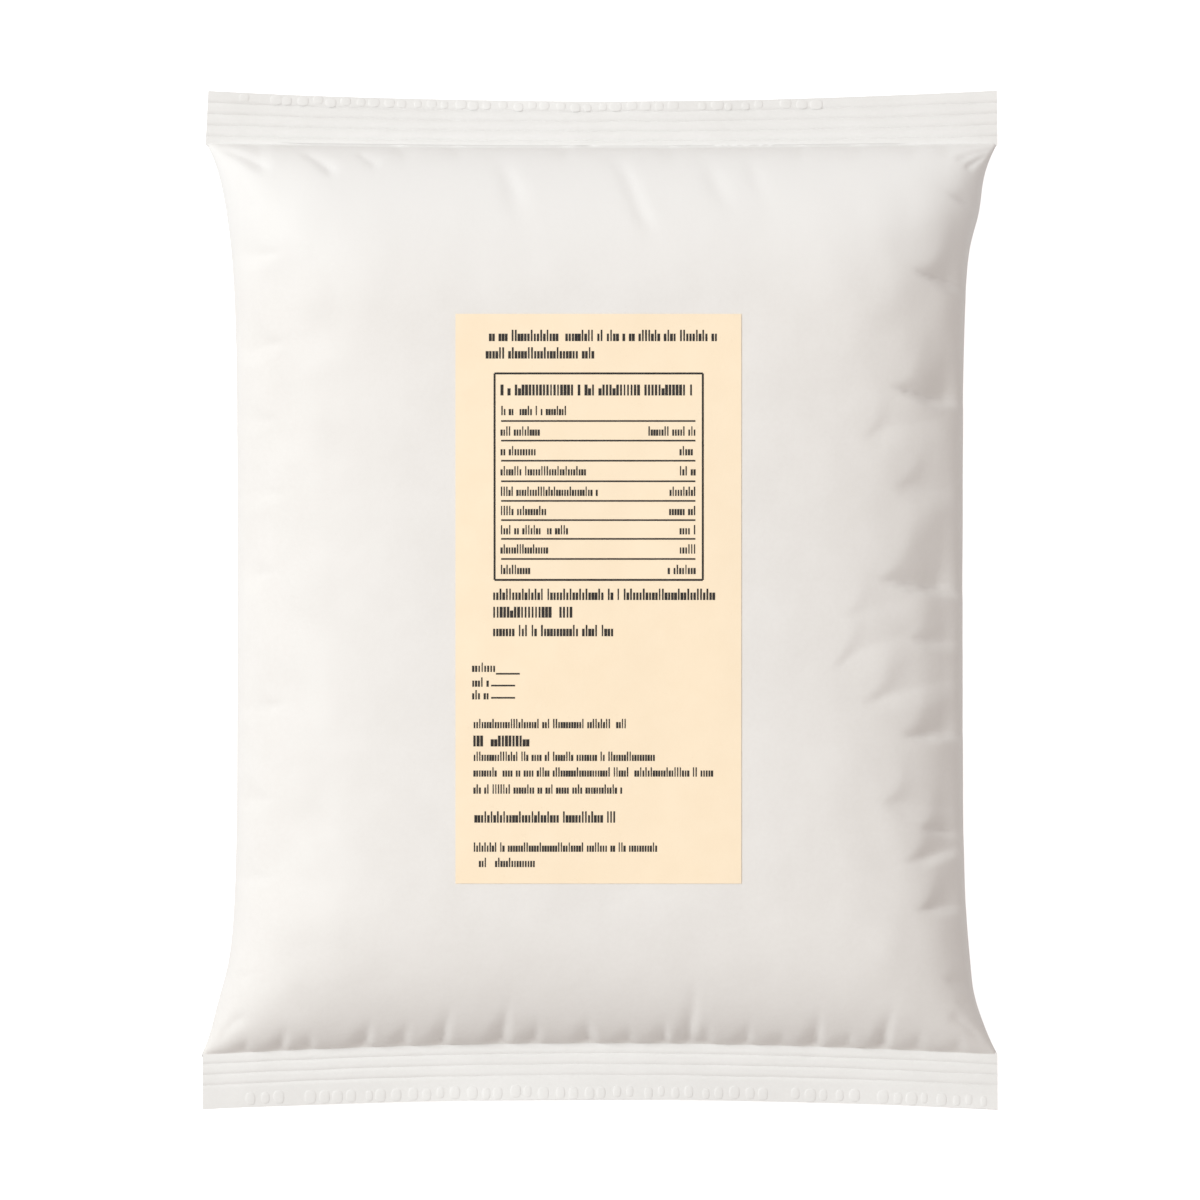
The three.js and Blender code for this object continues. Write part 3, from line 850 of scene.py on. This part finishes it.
# %% The tree of a seal: its grooves
GROOVE_LANES = 40.0
END_LANES = 9.0
DRIFT_LENGTH = 12 * MM
DRIFT_PLACE = 23.0
DEPTH_LENGTH = 5 * MM
DEPTH_PLACE = 37.0
middle_cut = minus(given["Cut Edge"], given["Cut Bow"])
middle_width = minus(middle_cut, minus(given["Seal Line"], given["Line Bow"]))
out = minus(times(share, middle_width), given["First Groove"])
nearest = maths(crimped, "ROUND", maths(crimped, "DIVIDE", out, given["Groove Pitch"]))
nearest = maths(crimped, "MINIMUM", nearest, minus(given["Grooves"], 1.0))
nearest = maths(crimped, "MAXIMUM", nearest, 0.0)


def groove_noise(length, place):
    """Smooth noise from -1 to 1 along each groove, for changes about `length` metres long."""
    lane = plus(times(GROOVE_LANES, nearest), times(END_LANES, given["Direction"]))
    where = add_node(crimped, "ShaderNodeCombineXYZ", {
        "X": times(1 / length, x), "Y": lane, "Z": place,
    })
    waves = add_node(crimped, "ShaderNodeTexNoise", {
        "Vector": where.outputs["Vector"], "Scale": 1.0, "Detail": 0.0,
    })
    return plus(times(2.0, waves.outputs["Fac"]), -1.0)


drift = times(given["Groove Drift"], groove_noise(DRIFT_LENGTH, DRIFT_PLACE))
beside = minus(minus(out, times(nearest, given["Groove Pitch"])), drift)
beside = maths(crimped, "DIVIDE", beside, given["Groove Half Width"])
bell = maths(crimped, "EXPONENT", times(-1.0, beside, beside))
depth = plus(1.0, times(given["Groove Unevenness"], groove_noise(DEPTH_LENGTH, DEPTH_PLACE)))
depth = times(given["Groove Depth"], depth, bell)

# %% [markdown]
# The height comes last. A seal droops or rises a little on its way out, and its free edge waves.
# Extrude Mesh gives the sheet its thickness and a flipped copy closes it from below. At the
# bottom end the grid is mirrored, which turns its faces over, so they are flipped back first.

# %% The tree of a seal: its height and its thickness
MERGE_DISTANCE = 0.001 * MM
turn = maths(crimped, "DIVIDE", times(2 * math.pi, x), given["Wave Length"])
wave = times(given["Wave"], maths(crimped, "SINE", plus(turn, given["Wave Phase"])), share, share)
z = minus(given["Height"], times(given["Droop"], share))
z = minus(minus(plus(z, wave), depth), times(0.5, given["Thickness"]))

moved = add_node(crimped, "GeometryNodeSetPosition", {
    "Geometry": grid.outputs["Mesh"],
    "Position": add_node(crimped, "ShaderNodeCombineXYZ", {"X": x, "Y": y, "Z": z}).outputs["Vector"],
})
mirrored = add_node(crimped, "FunctionNodeCompare", {
    0: given["Direction"], 1: 0.0,
}, operation="LESS_THAN")
strip = add_node(crimped, "GeometryNodeFlipFaces", {
    "Mesh": moved.outputs["Geometry"], "Selection": mirrored.outputs["Result"],
})
thick = add_node(crimped, "GeometryNodeExtrudeMesh", {
    "Mesh": strip.outputs["Mesh"], "Offset": (0, 0, 1), "Offset Scale": given["Thickness"],
    "Individual": False,
})
underside = add_node(crimped, "GeometryNodeFlipFaces", {"Mesh": strip.outputs["Mesh"]})
both = add_node(crimped, "GeometryNodeJoinGeometry")
crimped.links.new(thick.outputs["Mesh"], both.inputs["Geometry"])
crimped.links.new(underside.outputs["Mesh"], both.inputs["Geometry"])
closed = add_node(crimped, "GeometryNodeMergeByDistance", {
    "Geometry": both.outputs["Geometry"], "Distance": MERGE_DISTANCE,
})
hand_out(crimped, closed.outputs["Geometry"], given["Material"], result)
print(f"the seal tree has {len(crimped.nodes)} nodes")

# %% [markdown]
# ## Marks pressed into the seals
#
# Outside its grooves each seal has a row of short upright marks, where a knurled edge of the jaws
# pressed the film. They are many and alike, which is what Geometry Nodes are for. The tree draws a
# line of points over the seal, drops each point onto the film with a raycast, and puts a flat
# rounded bar there. The size and the gaps vary, because the jaws never press evenly. At the top
# the row ends well before the right corner, as it does in the photograph.

# %% Steps that the marks share with the print
RAY_LENGTH = 0.2


def random_between(tree, low, high, seed):
    return add_node(tree, "FunctionNodeRandomValue", {2: low, 3: high, 8: seed}).outputs[1]


def even_curve(tree, line, spacing):
    """A curve along the edges of a mesh, with evenly spaced points."""
    curve = add_node(tree, "GeometryNodeMeshToCurve", {"Mesh": line})
    return add_node(tree, "GeometryNodeResampleCurve", {
        "Curve": curve.outputs["Curve"], "Length": spacing,
    }, mode="LENGTH").outputs["Curve"]


def points_along(tree, line, spacing):
    return add_node(tree, "GeometryNodeCurveToPoints", {
        "Curve": even_curve(tree, line, spacing),
    }, mode="EVALUATED").outputs["Points"]


def geometry_of(tree, piece):
    return add_node(tree, "GeometryNodeObjectInfo", {"Object": piece}).outputs["Geometry"]


def thinned(tree, points, share_kept, seed):
    """Drop a random share of the points."""
    dice = random_between(tree, 0.0, 1.0, seed)
    dropped = add_node(tree, "FunctionNodeCompare", {0: dice, 1: share_kept}, operation="GREATER_THAN")
    return add_node(tree, "GeometryNodeDeleteGeometry", {
        "Geometry": points, "Selection": dropped.outputs["Result"],
    }, domain="POINT").outputs["Geometry"]


def ray_down(tree, target, shift):
    """Where each point, shifted, meets the target straight below it."""
    here = add_node(tree, "GeometryNodeInputPosition").outputs["Position"]
    start = add_node(tree, "ShaderNodeVectorMath", {0: here, 1: shift}, operation="ADD")
    return add_node(tree, "GeometryNodeRaycast", {
        "Target Geometry": target, "Source Position": start.outputs["Vector"],
        "Ray Direction": (0, 0, -1), "Ray Length": RAY_LENGTH,
    })


def dropped_onto(tree, points, target, shift):
    """Points shifted, then moved straight down onto the target, and the target's normal there."""
    ray = ray_down(tree, target, shift)
    kept = add_node(tree, "GeometryNodeCaptureAttribute", {"Geometry": points})
    kept.capture_items.new("VECTOR", "Normal")
    tree.links.new(ray.outputs["Hit Normal"], kept.inputs["Normal"])
    moved = add_node(tree, "GeometryNodeSetPosition", {
        "Geometry": kept.outputs["Geometry"], "Position": ray.outputs["Hit Position"],
    })
    return moved.outputs["Geometry"], kept.outputs["Normal"]


def stand_on(tree, points, shape, normal, scale):
    """Instances of a shape on the points, upright on the surface, made real."""
    turned = add_node(tree, "FunctionNodeAlignRotationToVector", {"Vector": normal}, axis="Z")
    placed = add_node(tree, "GeometryNodeInstanceOnPoints", {
        "Points": points, "Instance": shape, "Rotation": turned.outputs["Rotation"], "Scale": scale,
    })
    return add_node(tree, "GeometryNodeRealizeInstances", {
        "Geometry": placed.outputs["Instances"],
    }).outputs["Geometry"]


# %% [markdown]
# With these steps the tree of the marks is short. A mark is a cube, rounded by two rounds of
# subdivision, and squashed nearly flat. Half of it lies inside the film.

# %% The tree that presses marks into a seal
MARK_SHIFT = Vector((0.5, 0.3, 0)) * MM
MARK_WIDTHS = (0.7, 1.3)
MARK_LENGTHS = (0.75, 1.0)
MARK_ROUNDING_STEPS = 2
MARK_SQUARENESS = 0.2
marks, given, result = start_group(
    "pressed_marks", "GeometryNodeTree",
    [
        ("Geometry", "NodeSocketGeometry", None),
        ("Line", "NodeSocketObject", None),
        ("Spacing", "NodeSocketFloat", 0.002),
        ("Width", "NodeSocketFloat", 0.0005),
        ("Length", "NodeSocketFloat", 0.003),
        ("Height", "NodeSocketFloat", 0.0002),
        ("Share Kept", "NodeSocketFloat", 0.8),
        ("Seed", "NodeSocketInt", 1),
        ("Material", "NodeSocketMaterial", None),
    ],
    [("Geometry", "NodeSocketGeometry")],
)
seed = given["Seed"]
points = points_along(marks, geometry_of(marks, given["Line"]), given["Spacing"])
points = thinned(marks, points, given["Share Kept"], seed)
shift = add_node(marks, "FunctionNodeRandomValue", {
    0: -MARK_SHIFT, 1: MARK_SHIFT, 8: seed,
}, data_type="FLOAT_VECTOR").outputs[0]
points, normal = dropped_onto(marks, points, given["Geometry"], shift)
cube = add_node(marks, "GeometryNodeMeshCube", {"Size": (1, 1, 1)})
rounded = add_node(marks, "GeometryNodeSubdivisionSurface", {
    "Mesh": cube.outputs["Mesh"], "Level": MARK_ROUNDING_STEPS,
    "Edge Crease": MARK_SQUARENESS,
})
size = add_node(marks, "ShaderNodeCombineXYZ", {
    "X": maths(marks, "MULTIPLY", given["Width"], random_between(marks, *MARK_WIDTHS, seed)),
    "Y": maths(marks, "MULTIPLY", given["Length"], random_between(marks, *MARK_LENGTHS, seed)),
    "Z": given["Height"],
})
pressed = stand_on(marks, points, rounded.outputs["Mesh"], normal, size.outputs["Vector"])
joined = add_node(marks, "GeometryNodeJoinGeometry")
marks.links.new(pressed, joined.inputs["Geometry"])
marks.links.new(given["Geometry"], joined.inputs["Geometry"])
hand_out(marks, joined.outputs["Geometry"], given["Material"], result)
print(f"the marks tree has {len(marks.nodes)} nodes")

# %% [markdown]
# A tree is a recipe. It is put on a piece as a modifier, with that piece's measures, and the
# result is kept as a plain mesh. Trees that follow lines find them as edges of a mesh.

# %% Use a tree
GUIDE_HEIGHT = HEIGHT + 10


def add_tree(piece, tree, values):
    """Put a tree on a piece, with its inputs set by their names' identifiers."""
    modifier = piece.modifiers.new(tree.name, "NODES")
    modifier.node_group = tree
    for item in tree.interface.items_tree:
        if item.in_out == "INPUT" and item.name in values:
            modifier[item.identifier] = values[item.name]


def made_plain(piece, smooth):
    """Keep what the piece's trees make as its own plain mesh, and drop the trees."""
    depsgraph = bpy.context.evaluated_depsgraph_get()
    mesh = bpy.data.meshes.new_from_object(piece.evaluated_get(depsgraph), depsgraph=depsgraph)
    piece.modifiers.clear()
    piece.data = mesh
    mesh.name = piece.name
    mesh.polygons.foreach_set("use_smooth", [smooth] * len(mesh.polygons))
    return mesh


def line_object(name, chains):
    """A mesh of edges along each chain of points, in millimetres."""
    vertices = []
    edges = []
    for chain in chains:
        first = len(vertices)
        vertices += [[value * MM for value in point] for point in chain]
        edges += [(first + i, first + i + 1) for i in range(len(chain) - 1)]
    mesh = bpy.data.meshes.new(name)
    mesh.from_pydata(vertices, edges, [])
    return in_scene(name, mesh)


# %% [markdown]
# Each seal takes both trees. The grid is fine enough for the grooves, with a row every sixth of
# a millimetre. The line that the marks follow runs above the seal, close to its cut edge, and is
# removed afterwards.

# %% Make both seals
SEAL_COLUMNS = 460
SEAL_ROW_STEP = 0.16
SEAL_OVERLAP = 0.4
GROOVE_HALF_WIDTH = 0.38
GROOVE_DRIFT = 0.16
GROOVE_UNEVENNESS = 0.7
SEAL_WAVE = 0.9
SEAL_WAVELENGTH = 104.0
MARKS_KEPT = 0.94
MARK_LINE_POINTS = 80


def mark_line(end):
    """A line over the seal's band of marks, with the cut edge's own bow."""
    x = np.linspace(end.marks_from, end.marks_to, MARK_LINE_POINTS)
    y = end.direction * (LENGTH / 2 - end.cut_bow * crown(x) - end.marks_inset)
    return line_object("mark_line", [[(a, b, GUIDE_HEIGHT) for a, b in zip(x, y)]])


def make_seal(end):
    name = f"{end.name}_seal"
    seal = line_object(name, [])
    width = LENGTH / 2 - end.cut_bow - (end.line - end.line_bow)
    lengths = [
        FLAT_WIDTH, end.line, end.line_bow, LENGTH / 2, end.cut_bow, end.pitch, end.first_groove,
        end.groove_depth, GROOVE_HALF_WIDTH, GROOVE_DRIFT, SIDE_HEIGHT, SEAL_THICKNESS, end.droop,
        SEAL_WAVE, SEAL_WAVELENGTH, end.tuck,
    ]
    add_tree(seal, crimped, {
        "Columns": SEAL_COLUMNS + 1, "Rows": int((width + SEAL_OVERLAP) / SEAL_ROW_STEP),
        "Direction": float(end.direction), "Overlap Share": SEAL_OVERLAP / width,
        "Grooves": end.grooves, "Groove Unevenness": GROOVE_UNEVENNESS,
        "Wave Phase": end.wave_phase, "Material": pressed_material,
        **{socket: length * MM for socket, length in zip(LENGTH_SOCKETS, lengths)},
    })
    line = mark_line(end)
    mark_width, mark_length = end.mark_size
    add_tree(seal, marks, {
        "Line": line, "Spacing": end.mark_spacing * MM, "Width": mark_width * MM,
        "Length": mark_length * MM, "Height": end.mark_height * MM, "Share Kept": MARKS_KEPT,
        "Seed": end.mark_seed, "Material": pressed_material,
    })
    plain = made_plain(seal, smooth=True)
    plain.set_sharp_from_angle(angle=SHARP_ANGLE)
    bpy.data.objects.remove(line)
    print(f"{name}: {len(plain.polygons)} faces with its marks")
    return seal


seals = [make_seal(TOP_END), make_seal(BOTTOM_END)]

# %% [markdown]
# ## The print on the label
#
# The print is shown without any words: each line of text becomes a row of thin upright strokes,
# which reads as print from a distance and says nothing. A printed table has a frame, rules between
# its rows, and a short entry at each end of a row. The list below is the layout: the ends and the
# height of each line.

# %% Where the print is
# Columns: left, right and middle of the line, in millimetres from the label's middle
BOLD_LINES = [
    (-25.5, 26.9, 60.3), (-25.5, -1.3, 56.3), (-23.9, 26.4, 1.0), (-23.9, 3.1, -7.3),
    (-28.1, 3.6, -50.0),
]
CAPITAL_LINES = [(-22.1, 21.2, 47.8), (-23.9, -6.3, -3.1), (-28.4, -15.4, -32.6)]
FINE_LINES = [
    (-22.1, -7.0, 43.1), (-28.4, 6.1, -28.6), (-28.4, 13.3, -36.1), (-28.4, 26.0, -39.7),
    (-28.4, 5.2, -43.6), (-28.4, 13.2, -56.9), (-28.4, -14.8, -60.4),
    (-28.7, -23.9, -15.7), (-28.7, -25.4, -19.1), (-28.7, -25.4, -22.0),
]
TABLE_TEXT_LEFT = -22.2
TABLE_TEXT_RIGHT = 22.0
TABLE_ROWS = [
    (38.4, -13.7, 11.6), (33.9, -14.6, 18.8), (29.3, -3.1, 18.8), (24.6, -0.4, 16.5),
    (20.2, -12.2, 16.4), (15.8, -6.6, 18.8), (11.4, -11.8, 18.8), (6.7, -15.9, 16.1),
]
for middle, left_end, right_start in TABLE_ROWS:
    FINE_LINES.append((TABLE_TEXT_LEFT, left_end, middle))
    FINE_LINES.append((right_start, TABLE_TEXT_RIGHT, middle))
TABLE_BOX = (-23.8, 23.9, 4.3, 51.6)
RULE_HEIGHTS = [40.7, 36.2, 31.6, 26.9, 22.4, 18.0, 13.7, 9.1]
BLANK_LINES = [(-23.5, -18.0, -17.2), (-24.6, -19.1, -19.9), (-24.6, -19.1, -22.7)]
print(f"{len(BOLD_LINES)} bold and {len(FINE_LINES)} fine lines of print")

# %% [markdown]
# The strokes repeat hundreds of times on the paper's curve, so a tree lays them. It spaces points
# along each guide line, drops some of them as the gaps between words, and makes a share of the
# rest tall, as some letters are. All strokes of a line stand on the same foot. A raycast then puts
# each one on the paper.

# %% The tree that lays strokes of print
STROKE_WIDTHS = (0.7, 1.5)
strokes, given, result = start_group(
    "strokes_of_print", "GeometryNodeTree",
    [
        ("Geometry", "NodeSocketGeometry", None),
        ("Paper", "NodeSocketObject", None),
        ("Spacing", "NodeSocketFloat", 0.0006),
        ("Stroke Width", "NodeSocketFloat", 0.00025),
        ("Letter Height", "NodeSocketFloat", 0.0016),
        ("Low Letters", "NodeSocketFloat", 0.66),
        ("Share Tall", "NodeSocketFloat", 0.3),
        ("Thickness", "NodeSocketFloat", 0.00008),
        ("Share Kept", "NodeSocketFloat", 0.86),
        ("Seed", "NodeSocketInt", 1),
        ("Material", "NodeSocketMaterial", None),
    ],
    [("Geometry", "NodeSocketGeometry")],
)
seed = given["Seed"]
letter = given["Letter Height"]
points = points_along(strokes, given["Geometry"], given["Spacing"])
points = thinned(strokes, points, given["Share Kept"], seed)
dice = random_between(strokes, 0.0, 1.0, seed)
is_low = maths(strokes, "GREATER_THAN", dice, given["Share Tall"])
missing = maths(strokes, "MULTIPLY", is_low, maths(strokes, "SUBTRACT", 1.0, given["Low Letters"]))
share_of_letter = maths(strokes, "SUBTRACT", 1.0, missing)
down = maths(strokes, "MULTIPLY", maths(strokes, "MULTIPLY", letter, missing), -0.5)
lowered = add_node(strokes, "ShaderNodeCombineXYZ", {"Y": down}).outputs["Vector"]
paper = geometry_of(strokes, given["Paper"])
points, normal = dropped_onto(strokes, points, paper, lowered)
block = add_node(strokes, "GeometryNodeMeshCube", {"Size": (1, 1, 1)})
widened = random_between(strokes, *STROKE_WIDTHS, seed)
size = add_node(strokes, "ShaderNodeCombineXYZ", {
    "X": maths(strokes, "MULTIPLY", given["Stroke Width"], widened),
    "Y": maths(strokes, "MULTIPLY", letter, share_of_letter),
    "Z": given["Thickness"],
})
blocks = stand_on(strokes, points, block.outputs["Mesh"], normal, size.outputs["Vector"])
hand_out(strokes, blocks, given["Material"], result)
print(f"the tree of strokes has {len(strokes.nodes)} nodes")

# %% [markdown]
# The frame, the rules and the blank lines to fill in are thin bars. Their tree drops a guide line
# onto the paper and sweeps a flat rectangle along it.

# %% The tree that lays thin bars
BAR_STEP = 1 * MM
bars, given, result = start_group(
    "printed_rules", "GeometryNodeTree",
    [
        ("Geometry", "NodeSocketGeometry", None),
        ("Paper", "NodeSocketObject", None),
        ("Bar Width", "NodeSocketFloat", 0.0003),
        ("Thickness", "NodeSocketFloat", 0.00008),
        ("Material", "NodeSocketMaterial", None),
    ],
    [("Geometry", "NodeSocketGeometry")],
)
ray = ray_down(bars, geometry_of(bars, given["Paper"]), (0, 0, 0))
laid = add_node(bars, "GeometryNodeSetPosition", {
    "Geometry": even_curve(bars, given["Geometry"], BAR_STEP),
    "Position": ray.outputs["Hit Position"],
})
upright = add_node(bars, "GeometryNodeSetCurveNormal", {
    "Curve": laid.outputs["Geometry"],
}, mode="Z_UP")
profile = add_node(bars, "GeometryNodeCurvePrimitiveQuadrilateral", {
    "Width": given["Bar Width"], "Height": given["Thickness"],
})
bar = add_node(bars, "GeometryNodeCurveToMesh", {
    "Curve": upright.outputs["Curve"], "Profile Curve": profile.outputs["Curve"],
    "Fill Caps": True,
})
hand_out(bars, bar.outputs["Mesh"], given["Material"], result)
print(f"the tree of bars has {len(bars.nodes)} nodes")

# %% [markdown]
# Each kind of print is one piece: bold text, capitals, fine text, the table's frame and its
# rules. Bold letters are wider and further apart, and nearly all strokes of capitals are tall.

# %% Print on the label
INK_THICKNESS = 0.08
FRAME_WIDTH = 0.46
RULE_WIDTH = 0.38
RULE_INSET_LEFT = 1.5
RULE_INSET_RIGHT = 1.7
# Columns: name, lines, spacing, stroke width, letter height, shares tall and kept, and seed
TEXTS = [
    ("bold_print", BOLD_LINES, 0.72, 0.46, 2.6, 0.3, 0.88, 3),
    ("capital_print", CAPITAL_LINES, 0.8, 0.5, 2.5, 0.9, 0.9, 14),
    ("fine_print", FINE_LINES, 0.6, 0.36, 2.15, 0.3, 0.9, 8),
]


def print_lines(name, tree, chains, values):
    """A piece of print: guide lines above the label, turned into ink by a tree."""
    middle = label_centre
    lifted = [[(middle.x + a, middle.y + b, GUIDE_HEIGHT) for a, b in chain] for chain in chains]
    piece = line_object(name, lifted)
    shared = {"Paper": label, "Thickness": INK_THICKNESS * MM, "Material": ink_material}
    add_tree(piece, tree, {**shared, **values})
    plain = made_plain(piece, smooth=False)
    print(f"{name}: {len(plain.polygons)} faces")
    return piece


def level_lines(lines):
    return [[(left, y), (right, y)] for left, right, y in lines]


prints = []
for name, lines, spacing, stroke, letter, share_tall, share_kept, seed in TEXTS:
    prints.append(print_lines(name, strokes, level_lines(lines), {
        "Spacing": spacing * MM, "Stroke Width": stroke * MM, "Letter Height": letter * MM,
        "Share Tall": share_tall, "Share Kept": share_kept, "Seed": seed,
    }))
left, right, low, high = TABLE_BOX
corners = [(left, low), (right, low), (right, high), (left, high), (left, low)]
sides = [corners[i:i + 2] for i in range(4)]
prints.append(print_lines("table_frame", bars, sides, {"Bar Width": FRAME_WIDTH * MM}))
rules = [(left + RULE_INSET_LEFT, right - RULE_INSET_RIGHT, y) for y in RULE_HEIGHTS]
rules = level_lines(rules + BLANK_LINES)
prints.append(print_lines("table_rules", bars, rules, {"Bar Width": RULE_WIDTH * MM}))

# %% [markdown]
# ## Floor, light and camera
#
# The photograph is a pack shot on pure white. The floor glows a little to the camera alone, which
# makes it white without lighting the bag from below.

# %% Floor
FLOOR_SIZE = 6
FLOOR_COLOUR = (0.92, 0.935, 0.95, 1)
FLOOR_GLOW = 0.68
FLOOR_ROUGHNESS = 0.9
bpy.ops.mesh.primitive_plane_add(size=FLOOR_SIZE)
floor = bpy.context.object
floor.name = "floor"
floor_material = bpy.data.materials.new("floor")
floor_material.use_nodes = True
tree = floor_material.node_tree
shader = tree.nodes["Principled BSDF"]
shader.inputs["Base Color"].default_value = FLOOR_COLOUR
shader.inputs["Roughness"].default_value = FLOOR_ROUGHNESS
shader.inputs["Emission Color"].default_value = (1, 1, 1, 1)
seen = add_node(tree, "ShaderNodeLightPath").outputs["Is Camera Ray"]
tree.links.new(maths(tree, "MULTIPLY", seen, FLOOR_GLOW), shader.inputs["Emission Strength"])
floor.data.materials.append(floor_material)

# %% [markdown]
# One large soft light shines from the upper left, and a dim warm world fills in the shade.

# %% Light
WORLD_COLOUR = (1, 0.892, 0.836, 1)
WORLD_STRENGTH = 0.495
KEY_DIRECTION = Vector((-0.515, 0.212, 0.832)).normalized()
KEY_DISTANCE = 4.0
KEY_SIZE = 1.8
KEY_POWER = 108.5
KEY_COLOUR = (0.932, 0.985, 0.99)
world = bpy.data.worlds.new("studio")
bpy.context.scene.world = world
world.use_nodes = True
background = world.node_tree.nodes["Background"]
background.inputs["Color"].default_value = WORLD_COLOUR
background.inputs["Strength"].default_value = WORLD_STRENGTH
bpy.context.scene.view_settings.view_transform = "Standard"

key_light = bpy.data.lights.new("key", "AREA")
key_light.shape = "DISK"
key_light.size = KEY_SIZE
key_light.energy = KEY_POWER
key_light.color = KEY_COLOUR
key = in_scene("key", key_light)
key.location = KEY_DIRECTION * KEY_DISTANCE
key.rotation_euler = KEY_DIRECTION.to_track_quat("Z", "Y").to_euler()

# %% [markdown]
# The camera looks straight down through a long lens, because the photograph shows hardly any
# perspective.

# %% Camera
CAMERA_HEIGHT = 2.0
CAMERA_LENS = 256.5
CAMERA_SENSOR = 36
camera_data = bpy.data.cameras.new("camera")
camera_data.sensor_width = CAMERA_SENSOR
camera_data.lens = CAMERA_LENS
camera = in_scene("camera", camera_data)
camera.location = (0, 0, CAMERA_HEIGHT)
bpy.context.scene.camera = camera

# %% [markdown]
# ## Hand over
#
# Every piece rides on the bag's one body. The film and the label stand for their imported solids,
# which stay out of sight.

# %% Hand over
for piece in [film, *seals]:
    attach(piece, "root")
for piece in [label, *prints]:
    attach(piece, "root")
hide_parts("bag")
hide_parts("label")
